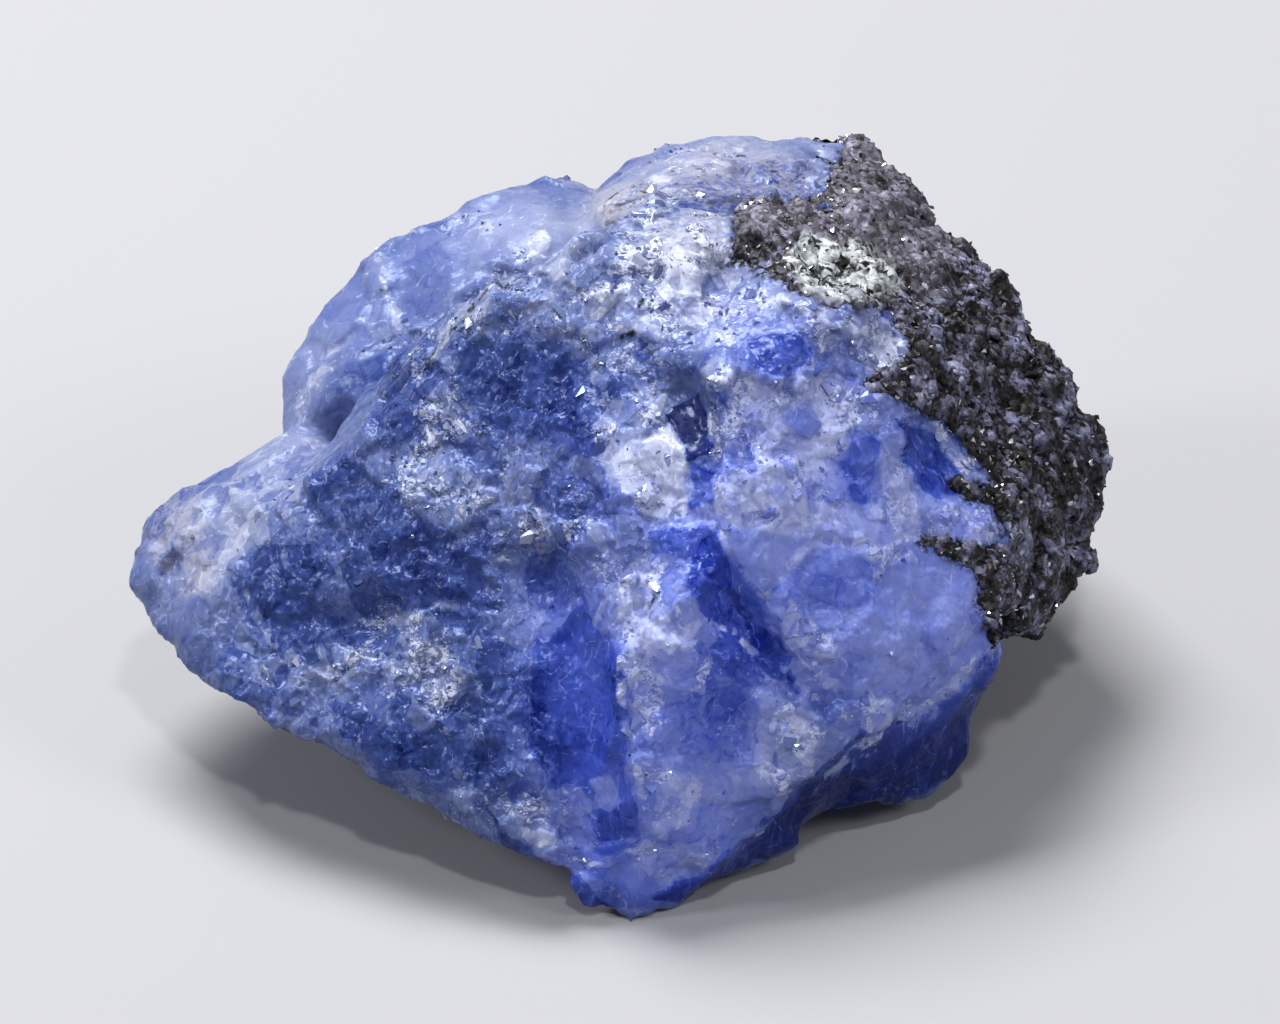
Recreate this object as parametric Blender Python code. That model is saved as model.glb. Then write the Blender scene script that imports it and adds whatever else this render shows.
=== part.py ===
"""A rough tanzanite: one broken lump of blue zoisite with graphite schist on its right and back.

The stone is a stack of split blocks. Each block is the hull of its corners, the blocks are fused
into one body, and the body is then chipped along its cleavage and thinned to flat facets.
Corners and reliefs are in millimetres: X to the right, Y away from the front, Z up from the floor.
"""

import math

import bmesh
import bpy
from mathutils import Vector, noise

MM = 0.001

GRAIN = 0.27  # edge of the even mesh that the chips are cut in
FACETS = 9600  # triangles of the stone before its foot is cut flat
SLIVER = 0.01  # edges shorter than this are closed up

# Relief of a layer of splits: height, cell size, stretch of a cell along X, Y and Z, and seed.
CRYSTAL_SPLITS = (
    (0.20, 3.1, (1.0, 1.2, 1.6), 3.7),
    (0.09, 1.3, (1.0, 1.0, 1.4), 11.2),
)
SCHIST_SPLITS = ((0.14, 1.0, (1.3, 1.3, 0.7), 5.5),)
SCHIST_LUMPS = (0.34, 1.5)  # height and size of the lumps of the schist
WAVES = (0.12, 3.0)  # height and size of the slow waves of every face

# The schist lies beyond both planes: each is a direction and a distance along it.
SCHIST_FRONT = (Vector((0.647, 0.76, 0.16)), 6.85)
SCHIST_LEFT = (Vector((0.973, -0.229, 0.0)), 1.18)
RAGGED_EDGE = (0.7, 1.6)  # how far and how often its border wanders

# The corners of each block.
FRONT_LEFT = [
    (-12.1, 0.0, 5.7), (-9.2, 0.7, 8.5), (-5.6, 2.4, 12.2), (-3.8, 3.1, 13.9),
    (-1.3, 3.4, 14.9), (1.6, 3.1, 14.5), (1.5, -0.8, 12.5), (1.2, -3.5, 9.3),
    (0.0, -5.2, 6.1), (-0.9, -6.3, 3.0), (-1.4, -6.5, 1.4), (-2.4, -6.7, 1.6),
    (-4.2, -6.1, 3.1), (-7.9, -4.3, 3.8), (-10.8, -2.7, 3.9), (-9.5, 5.0, 5.0),
    (-5.0, 5.0, 2.4), (-1.0, 8.0, 12.6), (0.0, 6.0, 1.0), (2.0, 6.0, 2.0),
    (-6.4, 5.6, 10.4),
]
ARM = [
    (-13.9, 2.1, 5.2), (-13.5, 3.4, 6.2), (-13.4, 0.4, 4.3), (-12.5, -0.9, 3.9),
    (-12.0, 4.5, 6.7), (-9.7, 5.6, 7.6), (-12.0, 0.0, 5.8), (-9.2, 0.8, 8.4),
    (-10.8, -2.5, 4.0), (-7.9, -3.9, 3.8), (-6.0, 2.0, 8.0), (-12.2, 5.2, 4.8),
    (-9.8, 7.4, 5.0), (-8.0, 5.0, 3.2), (-5.0, 7.0, 5.0),
]
STRIP = [
    (1.2, 0.4, 13.3), (1.3, -1.0, 12.5), (1.1, -3.4, 9.3), (0.0, -4.9, 6.3),
    (1.9, -0.9, 12.9), (2.3, -2.7, 10.8), (3.1, -3.6, 8.5), (4.3, -3.8, 7.0),
    (5.0, -4.6, 4.6), (1.6, -5.6, 4.0), (0.0, 4.0, 3.0), (5.0, 4.0, 3.0),
    (1.4, 4.4, 14.0), (3.6, 3.0, 13.4),
]
RIGHT_BLOCK = [
    (1.8, -1.3, 13.3), (2.0, -3.2, 11.0), (2.8, -4.2, 8.5), (4.0, -4.5, 7.1),
    (5.2, -5.3, 4.0), (6.1, -4.4, 4.8), (9.2, -2.2, 6.4), (9.7, -1.5, 6.8),
    (9.4, -0.6, 8.7), (7.1, 0.3, 12.0), (5.7, 1.2, 14.1), (2.6, -0.4, 13.7),
    (3.0, 4.0, 14.2), (2.0, 2.6, 13.6), (8.0, 5.0, 6.0), (4.0, 2.0, 5.0),
    (10.4, 1.6, 5.4),
]
LOWER_BLOCK = [
    (-0.7, -4.9, 7.6), (-0.6, -5.7, 6.6), (-0.2, -6.7, 3.8), (1.6, -3.9, 9.4),
    (4.0, -4.2, 7.0), (5.2, -5.2, 3.9), (1.6, -6.6, 2.1), (0.1, -6.8, -0.3),
    (-1.4, -6.9, 0.4), (-2.4, -6.6, 1.6), (-1.0, 0.0, 3.0), (4.0, 0.0, 2.0),
]
UNDER_RIGHT = [
    (6.1, -4.1, 4.6), (9.8, -1.9, 5.8), (9.5, -0.4, 3.0), (8.5, -1.2, 1.5),
    (6.5, -3.0, 1.2), (3.2, -4.9, 0.7), (0.2, -6.7, 0.0), (1.6, -6.3, 1.9),
    (5.0, 2.0, 0.4), (9.0, 4.0, 2.0), (3.0, 2.0, 5.0),
]
UNDER_FLAKE = [
    (7.1, -2.5, 3.9), (8.7, -1.5, 3.9), (8.9, -1.3, 1.2), (7.7, -2.0, 0.6),
    (6.6, -2.8, 0.8), (6.7, -2.9, 2.4), (8.4, 0.5, 2.0), (7.0, 0.0, 1.0),
]
BACK_LEFT = [
    (-10.1, 7.5, 8.2), (-10.0, 6.3, 7.2), (-8.9, 9.0, 9.7), (-7.4, 10.0, 10.9),
    (-6.0, 10.9, 11.5), (-4.2, 11.7, 11.7), (-2.7, 12.8, 11.6), (-1.4, 13.2, 11.1),
    (-6.6, 5.2, 9.5), (-4.4, 6.4, 11.3), (-2.0, 8.0, 12.2), (-9.2, 10.6, 6.0),
    (-6.4, 12.8, 6.6), (-2.2, 14.0, 6.8), (-7.0, 7.0, 3.6), (-4.0, 11.0, 3.4),
    (-0.6, 12.0, 10.8), (-1.0, 9.0, 3.0),
]
BACK_TOP = [
    (-1.4, 11.6, 11.5), (-0.6, 12.9, 11.8), (0.6, 13.6, 12.1), (2.3, 14.2, 12.0),
    (4.5, 14.7, 11.9), (5.9, 14.6, 11.7), (7.3, 13.7, 11.3), (8.6, 12.7, 10.7),
    (1.6, 3.7, 14.2), (-1.1, 3.9, 14.6), (3.2, 4.8, 14.4), (5.6, 7.8, 13.4),
    (0.4, 14.8, 7.4), (5.4, 15.2, 7.0), (8.4, 13.0, 7.0), (1.4, 11.2, 2.4),
    (6.6, 11.4, 2.6), (-1.6, 9.0, 4.0),
]
SCHIST = [
    (5.7, 1.4, 14.0), (7.1, 0.7, 11.8), (9.3, -0.3, 8.5), (9.6, -1.0, 6.5),
    (9.0, 11.1, 10.5), (10.1, 8.5, 9.7), (11.2, 7.3, 8.9), (12.2, 6.7, 7.8),
    (12.8, 6.1, 6.8), (12.8, 4.9, 5.9), (12.4, 3.6, 4.9), (11.5, 2.7, 3.7),
    (10.9, 2.2, 3.1), (8.0, 12.2, 10.5), (8.2, 12.8, 7.2), (3.4, 4.4, 14.5),
    (5.8, 7.8, 13.4), (11.7, 9.0, 6.0), (10.2, 11.6, 6.4), (10.0, 7.6, 2.4),
    (7.4, 10.6, 2.4), (4.0, 5.0, 3.0),
]
CORE = [
    (-6.4, 5.6, 8.6), (-3.6, 7.6, 11.0), (-0.8, 11.2, 11.0), (0.6, 4.4, 13.9),
    (4.4, 4.2, 13.9), (2.6, 2.0, 13.4), (6.4, 9.4, 12.2), (8.6, 10.4, 9.0),
    (9.0, 10.0, 4.4), (1.0, 12.4, 5.0), (-4.6, 9.6, 4.0), (2.0, 1.0, 3.0),
    (9.6, 3.0, 3.4), (-3.0, 3.0, 2.6),
]
FOOT = [
    (0.0, -6.6, -0.4), (2.6, -4.6, -0.4), (4.8, -1.0, -0.4), (4.8, 4.4, -0.4),
    (1.6, 7.4, -0.4), (-2.2, 5.6, -0.4), (-2.6, 1.0, -0.4), (-1.4, -4.6, -0.4),
    (-6.2, 2.0, 3.4), (-5.0, 7.6, 4.0), (1.6, 11.4, 3.4), (8.6, 8.4, 3.4),
    (9.0, 2.0, 3.0), (0.0, -5.6, 3.0),
]

# Breaks in the faces of the blocks: from, to, half width and depth.
HOLLOWS = {
    "front_valley": ((-2.3, -3.2, 8.0), (-1.1, -6.5, 2.6), 1.0, 0.65),
    "dark_recess": ((1.1, -0.4, 12.8), (1.4, -1.5, 12.1), 0.38, 0.7),
    "step_shadow": ((2.5, -4.2, 8.5), (4.1, -4.9, 6.2), 0.5, 0.55),
    "strip_left_edge": ((0.6, -0.6, 12.6), (-0.2, -5.0, 7.0), 0.35, 0.3),
    "back_groove_low": ((-6.8, 4.8, 9.6), (-4.6, 6.3, 11.2), 0.5, 0.55),
    "back_groove_high": ((-4.6, 6.3, 11.2), (-2.2, 8.0, 12.4), 0.5, 0.5),
    "tip_notch": ((-0.75, -6.9, 0.5), (-0.7, -6.6, 1.3), 0.3, 0.5),
    "pocket": ((7.3, 0.2, 11.6), (8.4, -0.3, 9.8), 0.5, 0.4),
    "face_chip": ((-8.6, -1.6, 6.4), (-7.0, -2.2, 6.4), 0.7, 0.3),
    "vein_step": ((-9.0, -3.0, 4.6), (-5.4, -3.2, 5.6), 0.45, 0.25),
}

BLOCKS = {
    "front_left": FRONT_LEFT,
    "arm": ARM,
    "strip": STRIP,
    "right_block": RIGHT_BLOCK,
    "lower_block": LOWER_BLOCK,
    "under_right": UNDER_RIGHT,
    "under_flake": UNDER_FLAKE,
    "back_left": BACK_LEFT,
    "back_top": BACK_TOP,
    "schist": SCHIST,
    "core": CORE,
    "foot": FOOT,
}


def clear_scene():
    """An empty scene."""
    for old in list(bpy.data.objects):
        bpy.data.objects.remove(old, do_unlink=True)


def hull(name, corners):
    """The convex block that has these corners."""
    bm = bmesh.new()
    for corner in corners:
        bm.verts.new(Vector(corner) * MM)
    made = bmesh.ops.convex_hull(bm, input=bm.verts)
    inside = {v for v in made["geom_interior"] if isinstance(v, bmesh.types.BMVert)}
    bmesh.ops.delete(bm, geom=list(inside), context="VERTS")
    bmesh.ops.recalc_face_normals(bm, faces=bm.faces)
    mesh = bpy.data.meshes.new(name)
    bm.to_mesh(mesh)
    bm.free()
    block = bpy.data.objects.new(name, mesh)
    bpy.context.scene.collection.objects.link(block)
    return block


def settle(obj):
    """Makes the object's modifiers part of its mesh."""
    graph = bpy.context.evaluated_depsgraph_get()
    settled = bpy.data.meshes.new_from_object(obj.evaluated_get(graph))
    obj.modifiers.clear()
    obj.data = settled


def fuse(blocks):
    """One body from the overlapping blocks, in an even mesh of GRAIN-sized faces."""
    first, *others = blocks
    for block in others:
        join = first.modifiers.new("join_" + block.name, "BOOLEAN")
        join.operation = "UNION"
        join.object = block
    even = first.modifiers.new("even_grain", "REMESH")
    even.mode = "VOXEL"
    even.voxel_size = GRAIN * MM
    settle(first)
    for block in others:
        bpy.data.objects.remove(block, do_unlink=True)
    return first


def schist_share(p):
    """1 on the schist, 0 on the crystal, and between the two along their border."""
    inside = min(p.dot(way) - distance for way, distance in (SCHIST_FRONT, SCHIST_LEFT))
    reach, size = RAGGED_EDGE
    return min(1.0, max(0.0, 0.5 + inside + reach * noise.noise(p / size)))


def splits(p, height, size, stretch, seed):
    """Relief of a broken crystal: each cell is one flat split, tilted and stepped its own way."""
    q = Vector(p[i] / (size * stretch[i]) for i in range(3)) + Vector((seed, seed, seed))
    centre = noise.voronoi(q)[1][0]
    tilt = noise.cell_vector(centre * 7.3) * 2 - Vector((1, 1, 1))
    step = 0.6 * noise.cell(centre * 3.1)
    return height * max(-1.0, min(1.0, (q - centre).dot(tilt) + step))


def lumps(p, height, size):
    """Relief of the schist: rounded lumps with smaller lumps on them."""
    return height * noise.fractal(p / size, 0.7, 2.1, 3)


def hollow(p, start, end, width, depth):
    """How deep a break between two points cuts in at a point."""
    start, end = Vector(start), Vector(end)
    run = end - start
    along = max(0.0, min(1.0, (p - start).dot(run) / run.length_squared))
    away = (p - start - run * along).length / width
    return depth * math.exp(-away * away)


def relief(p):
    """How far a point of the surface stands out of its plain block."""
    crystal = sum(splits(p, *layer) for layer in CRYSTAL_SPLITS)
    schist = sum(splits(p, *layer) for layer in SCHIST_SPLITS) + lumps(p, *SCHIST_LUMPS)
    height, size = WAVES
    waves = height * noise.noise(p / size)
    breaks = sum(hollow(p, *cut) for cut in HOLLOWS.values())
    share = schist_share(p)
    return crystal * (1 - share) + schist * share + waves - breaks


def chip(stone):
    """Breaks the plain blocks' faces into ledges, pits and lumps."""
    normals = [v.normal.copy() for v in stone.data.vertices]
    for vertex, normal in zip(stone.data.vertices, normals):
        vertex.co += normal * relief(vertex.co / MM) * MM
    stone.data.update()


def thin_out(stone, triangles):
    """Leaves this many triangles, so that each split is a flat facet again."""
    stone.data.calc_loop_triangles()
    thin = stone.modifiers.new("flat_facets", "DECIMATE")
    thin.ratio = triangles / len(stone.data.loop_triangles)
    settle(stone)


def rest_flat(stone):
    """Cuts the foot flat on the floor and centres the stone over the origin; returns the old centre."""
    bm = bmesh.new()
    bm.from_mesh(stone.data)
    cut = bmesh.ops.bisect_plane(
        bm,
        geom=bm.verts[:] + bm.edges[:] + bm.faces[:],
        plane_co=(0, 0, 0),
        plane_no=(0, 0, -1),
        clear_outer=True,
    )
    rim = [e for e in cut["geom_cut"] if isinstance(e, bmesh.types.BMEdge)]
    bmesh.ops.holes_fill(bm, edges=rim, sides=0)
    bmesh.ops.triangulate(bm, faces=[f for f in bm.faces if len(f.verts) > 3])
    bmesh.ops.dissolve_degenerate(bm, dist=SLIVER * MM, edges=bm.edges)
    bmesh.ops.recalc_face_normals(bm, faces=bm.faces)
    low = Vector(min(v.co[i] for v in bm.verts) for i in range(3))
    high = Vector(max(v.co[i] for v in bm.verts) for i in range(3))
    middle = (low + high) / 2
    bmesh.ops.translate(bm, vec=(-middle.x, -middle.y, -low.z), verts=bm.verts)
    bm.to_mesh(stone.data)
    bm.free()
    return middle


def mineral(name, colour, roughness, metallic):
    """A plain surface of this colour."""
    material = bpy.data.materials.new(name)
    material.use_nodes = True
    surface = material.node_tree.nodes["Principled BSDF"]
    surface.inputs["Base Color"].default_value = (*colour, 1)
    surface.inputs["Roughness"].default_value = roughness
    surface.inputs["Metallic"].default_value = metallic
    material.diffuse_color = (*colour, 1)
    return material


def paint(stone, middle):
    """Blue zoisite in front, and dark graphite schist beyond its border."""
    stone.data.materials.clear()
    stone.data.materials.append(mineral("blue_zoisite", (0.10, 0.15, 0.50), 0.25, 0.0))
    stone.data.materials.append(mineral("graphite_schist", (0.06, 0.055, 0.06), 0.5, 0.2))
    for face in stone.data.polygons:
        place = face.center + Vector((middle.x, middle.y, 0))
        face.material_index = int(schist_share(place / MM) > 0.5)


def main():
    clear_scene()
    stone = fuse([hull(name, corners) for name, corners in BLOCKS.items()])
    stone.name = "tanzanite_stone"
    chip(stone)
    thin_out(stone, FACETS)
    middle = rest_flat(stone)
    paint(stone, middle)


if __name__ == "__main__":
    main()
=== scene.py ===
"""A rough tanzanite: a broken lump of blue zoisite with dark graphite schist on its right and back."""

import math

import bmesh
import bpy
import numpy as np
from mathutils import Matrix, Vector, noise


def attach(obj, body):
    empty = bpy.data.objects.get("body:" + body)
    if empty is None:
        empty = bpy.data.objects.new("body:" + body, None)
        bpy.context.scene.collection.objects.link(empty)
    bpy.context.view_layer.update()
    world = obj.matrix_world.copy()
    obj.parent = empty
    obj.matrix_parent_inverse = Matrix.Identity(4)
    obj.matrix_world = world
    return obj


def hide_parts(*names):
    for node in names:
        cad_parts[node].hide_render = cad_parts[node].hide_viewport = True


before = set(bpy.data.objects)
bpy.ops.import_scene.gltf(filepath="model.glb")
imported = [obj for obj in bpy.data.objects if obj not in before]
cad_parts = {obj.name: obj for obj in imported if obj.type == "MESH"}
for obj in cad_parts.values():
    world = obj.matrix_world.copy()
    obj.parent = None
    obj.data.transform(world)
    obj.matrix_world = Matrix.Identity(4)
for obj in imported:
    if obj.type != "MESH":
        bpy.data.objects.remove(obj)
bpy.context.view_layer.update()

MM = 0.001
STONE = "tanzanite_stone"  # the CAD node
CENTRE = Vector((-0.574, 4.126, 0.0))  # the stone's middle, in the millimetres of the places below

# The photograph's view.
CAMERA_TILT = math.radians(33)
CAMERA_DISTANCE = 195  # mm
CAMERA_AIM = Vector((0.0, 0.0, 8.6))
VIEW_WIDTH = 34.4  # mm of the stone's middle across the picture
SENSOR = 36  # mm

WELD = 0.001  # mm, below which two corners of the CAD mesh are one
BODY_GRAIN = 0.16  # mm, edge of the faces of the hidden sides; half of it on the sides that show
SMOOTHING = 4  # rounds that take the CAD facets off before the fine ones are made
CRYSTAL_SPLIT = -1.0  # mm, where the crystal's mesh is parted into a left and a right piece

# Where the two meet, in millimetres: how far each goes on beneath the other, how deep its border dips
# there, and how far the schist stands proud.
CRYSTAL_LAP, CRYSTAL_DIP = 0.45, 0.3
SCHIST_LAP, SCHIST_DIP, SCHIST_RISE = 0.3, 0.5, 0.12

ZOISITE_IOR = 1.69
BLUE_GLINT = (0.55, 0.68, 1.0, 1.0)  # colour of reflections on the crystal
CRUMB = 0.12  # mm, the crystal's finest splits, which only its material shows
SCHIST_CRUMB = 0.14  # mm

# How the stone breaks, in layers: name, size and height in mm, the mark that scales it, and the rounds
# that ease its steps.
BREAKS = [
    ("Large", 2.3, 0.5, "coarse", 4),
    ("Middle", 0.95, 0.3, "fine", 1),
    ("Small", 0.42, 0.13, "fine", 0),
]
SCHIST_BREAKS = [("Lump", 0.7, 0.35, "coarse", 1), ("Crumb", 0.3, 0.16, "coarse", 0)]

# Behind the photographed side, the schist lies beyond both planes: a direction and a distance along it.
SCHIST_FRONT = (Vector((0.647, 0.76, 0.16)), 6.85)
SCHIST_LEFT = (Vector((0.973, -0.229, 0.0)), 1.18)

# Outlines on the photographed side are as the camera sees them, in millimetres right of and above
# the middle of the picture. An outline of the crystal has an amount and a soft width before it.
SCHIST_OUTLINE = [
    (2.2, 6.6), (2.7, 6.7), (3.4, 6.4), (4, 6.1), (4.5, 5.7), (5.5, 5.5), (6.2, 5.6), (6.8, 5.5),
    (7.2, 4.5), (7, 3.9), (6.1, 3.7), (6, 3.4), (6.6, 3.2), (7.2, 2.9), (8, 2.5), (8.7, 1.9),
    (9.5, 1.1), (9.3, 0.6), (8.4, 0.8), (8.3, 0.6), (9.1, 0.3), (9.7, -0.1), (9.9, -0.6), (9.7, -1),
    (8.8, -0.9), (7.7, -0.6), (7.5, -0.8), (8.3, -1.2), (9, -1.5), (9.2, -2.1), (9.2, -2.7),
    (9.7, -3.4), (13.2, -3.4), (13.2, 10.5), (5.9, 10.4), (5.3, 9.3), (4.9, 8.5), (4, 8.3), (2.8, 8.4),
    (2.5, 8), (2.6, 7.4), (2.4, 7),
]
LEFT_FACE = [
    (-11, -1.7), (-7, 1.8), (-5, 4.2), (-2.5, 4.9), (-1.2, 3), (-0.8, -1.5), (-1.2, -6), (-3, -8),
    (-8, -5.6), (-10.5, -3.8),
]
PINKISH_SCHIST = [
    (2.5, 8), (2.8, 8.4), (4, 8.3), (4.9, 8.5), (5.6, 10), (7.2, 9.6), (8.8, 7.6), (7.8, 5.7), (6.8, 6.7),
    (5.6, 7.4), (4, 7.4), (2.6, 7.4),
]
GREENISH_PATCH = [(3.9, 6.7), (4.3, 7.3), (5.6, 7.4), (6.6, 7), (7, 6.1), (6.2, 5.6), (5.4, 5.6), (4.5, 5.8)]
RECESS = [(0.66, 2.64), (1.64, 3.13), (1.78, 2.17), (1.81, 1.68), (1.29, 1.41), (1.15, 1.96)]

# Crushed crystal is milky and pale.
CRUSHED = {
    "crest": (0.35, 0.5, [
        (-2.1, 4.8), (-1.8, 6.4), (-0.7, 7.2), (1.6, 7.1), (2.8, 6), (3.4, 4.8), (1.6, 3.9), (0, 3.7),
        (-1.1, 3),
    ]),
    "crest_top": (0.8, 0.3, [
        (-0.8, 7.3), (0.2, 8), (1.6, 8.2), (2.5, 8), (2.6, 7.2), (2.2, 6.6), (1, 6.3), (-0.3, 6.6),
    ]),
    "crest_right": (0.55, 0.35, [(2.8, 6), (4.3, 5.7), (6.2, 5.2), (6.7, 3.8), (5.6, 4.4), (4, 4.9)]),
    "milky_strip": (0.45, 0.35, [(-1.5, 3.1), (0.3, 3.5), (1.1, 3), (0.5, 2.1), (-0.7, 1.7), (-1.3, 1.9)]),
    "white_flake": (1.6, 0.1, [
        (-0.8, 1.3), (-0.1, 2), (0.8, 2.3), (1.1, 1.7), (1.3, 0.6), (1.1, -0.1), (0.4, 0.3), (-0.4, 0.6),
    ]),
    "flake_tail": (1.1, 0.12, [(-0.2, 0.5), (0.6, 0.6), (1.1, 0.6), (1.3, 0), (0.6, -0.2), (0, 0.1)]),
    "speckled": (0.7, 0.2, [
        (-0.6, -1.4), (0.3, -0.9), (1.1, -1.6), (0.8, -2.9), (0.3, -4), (0, -5.2), (-0.5, -3.8),
    ]),
    "upper_face": (0.25, 0.5, [
        (-5.8, 1.1), (-3.2, 0.9), (-1.1, 0.3), (-0.8, -1.3), (-2.7, -0.9), (-5.4, -0.2),
    ]),
    "upper_flecks": (0.5, 0.3, [(-5.8, 3.1), (-5, 3.5), (-4.6, 2.2), (-5.4, 0.9), (-6.3, 0.3), (-6.5, 1.5)]),
    "left_vein": (0.35, 0.3, [
        (-7.4, -2.4), (-6.4, -2.7), (-5.1, -3.4), (-4.6, -4.8), (-5.2, -6), (-6, -5), (-7, -4),
    ]),
    "left_vein_tail": (0.45, 0.25, [
        (-10.9, -3.4), (-9.7, -3.7), (-7.4, -3.4), (-7, -4.1), (-9.1, -4.8), (-10.2, -4.8),
    ]),
    "left_ridge": (0.45, 0.4, [
        (-12.4, -1.3), (-9.4, 1), (-8.3, 1.1), (-9.1, -0.2), (-11.1, -1.8), (-12.1, -2.4),
    ]),
    "arm_top": (0.5, 0.4, [
        (-13.2, -0.9), (-12, 0.5), (-9.5, 1.9), (-8.3, 1.9), (-9.9, 0.6), (-11.8, -0.8), (-12.8, -1.8),
    ]),
    "right_rim": (0.55, 0.15, [(1.7, 3.8), (2.6, 4), (2.9, 3), (2.7, 1.9), (2, 1.5), (1.8, 2.5)]),
    "right_top": (0.6, 0.3, [(2.6, 3.1), (4.3, 3.4), (5.6, 3), (6.2, 2.2), (4.8, 1.9), (3.2, 2.2)]),
    "right_upper": (0.65, 0.5, [(2.1, 3.5), (5.4, 3.7), (6.3, 2.6), (5.4, 1.6), (4.8, 0.3), (2.2, 0.4)]),
    "right_band": (0.55, 0.2, [(2, 0.3), (3.2, 0.9), (5.6, 0.3), (5.4, -0.3), (3.5, -0.5), (2.3, -0.5)]),
    "right_vein": (0.7, 0.1, [(4.3, -0.9), (5.6, -0.4), (6.7, -0.9), (6.4, -1.3), (5.5, -1), (4.6, -1.3)]),
    "right_corner": (0.35, 0.2, [(6.4, 1.1), (7.1, 0.9), (7.9, -0.8), (7.5, -1.6), (6.7, -0.9), (6.4, 0.2)]),
    "right_low": (0.75, 0.15, [(3.4, -2.6), (4.3, -2.4), (5.2, -3.4), (5.4, -5), (4.6, -4.5), (3.8, -3.4)]),
    "right_bottom": (0.35, 0.3, [(5.4, -4), (7.8, -3.4), (9.4, -2.6), (8.3, -4.2), (6.2, -5.5)]),
    "lower_edge": (0.75, 0.15, [
        (-0.5, -4), (0.1, -3.7), (0.8, -4.8), (0.3, -6), (-0.2, -5.4), (-0.4, -4.6),
    ]),
    "lower_wedge": (0.6, 0.2, [(0.1, -6.7), (1.7, -7.3), (1.3, -8.4), (0.5, -8.7)]),
    "lower_streak": (1.1, 0.08, [(1.3, -4.8), (1.8, -3.8), (2, -4), (1.6, -4.9)]),
    "lower_streak_high": (0.9, 0.08, [(0.4, -3.4), (1.6, -2.8), (1.7, -3.1), (0.8, -3.8)]),
    "lower_right": (0.65, 0.2, [(3.2, -5.6), (4.3, -5), (5, -6.1), (4, -7.5), (3.1, -6.9)]),
    "bottom_ridge": (0.85, 0.15, [
        (-0.4, -9), (0.8, -8.9), (2.1, -8.8), (1.9, -9.4), (1.4, -9.9), (0.6, -10), (-0.1, -9.6),
    ]),
    "bottom_ledge": (0.5, 0.2, [
        (-3.8, -7.7), (-2.1, -7.3), (-0.8, -7.7), (-1.1, -8.9), (-2.3, -9.1), (-3.4, -8.5),
    ]),
    "lobe_edge": (0.35, 0.2, [(-9.5, 2.6), (-9.1, 3.7), (-7.8, 4.9), (-7.9, 4.4), (-8.9, 3.1), (-9.3, 1.9)]),
    "lobe_top": (0.3, 0.3, [(-5.6, 7.8), (-4, 8.2), (-3.8, 7.7), (-5.1, 7.2)]),
    "lobe_groove": (0.5, 0.2, [(-6.4, 3.8), (-4.6, 5.7), (-2.6, 7.7), (-2.3, 7.4), (-4.2, 5.2), (-6, 3.4)]),
    "back_top": (0.3, 0.4, [(-1.1, 8.2), (0.5, 9.3), (2.7, 9.7), (2.6, 8.6), (0.3, 8)]),
    "underside_rim": (0.5, 0.1, [
        (5.9, -5.6), (7.8, -5), (9.7, -3.4), (9.8, -3.8), (7.9, -5.5), (6.1, -6.1),
    ]),
    "border_bump": (1.3, 0.1, [(6.1, 4.3), (6.4, 4.7), (7.1, 4.5), (7.2, 4), (6.7, 3.7), (6.1, 3.8)]),
    "border_shards": (0.5, 0.15, [(6.1, 5.4), (6.9, 5.4), (7.1, 4.8), (6.4, 4.7)]),
    "pocket_shards": (1, 0.08, [(7.8, 2.4), (8.5, 1.9), (9, 1.3), (8.8, 1), (8.2, 1.5)]),
    "pocket_edge": (0.8, 0.15, [(6.6, 1.5), (7, 1.3), (7.6, -0.2), (7.1, -0.5), (6.7, 0.6)]),
    "between_tongues": (0.5, 0.2, [
        (7.8, 0.2), (8.7, 0.3), (9.7, -0.2), (9.6, -0.9), (8.6, -0.9), (7.8, -0.5),
    ]),
}

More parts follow.
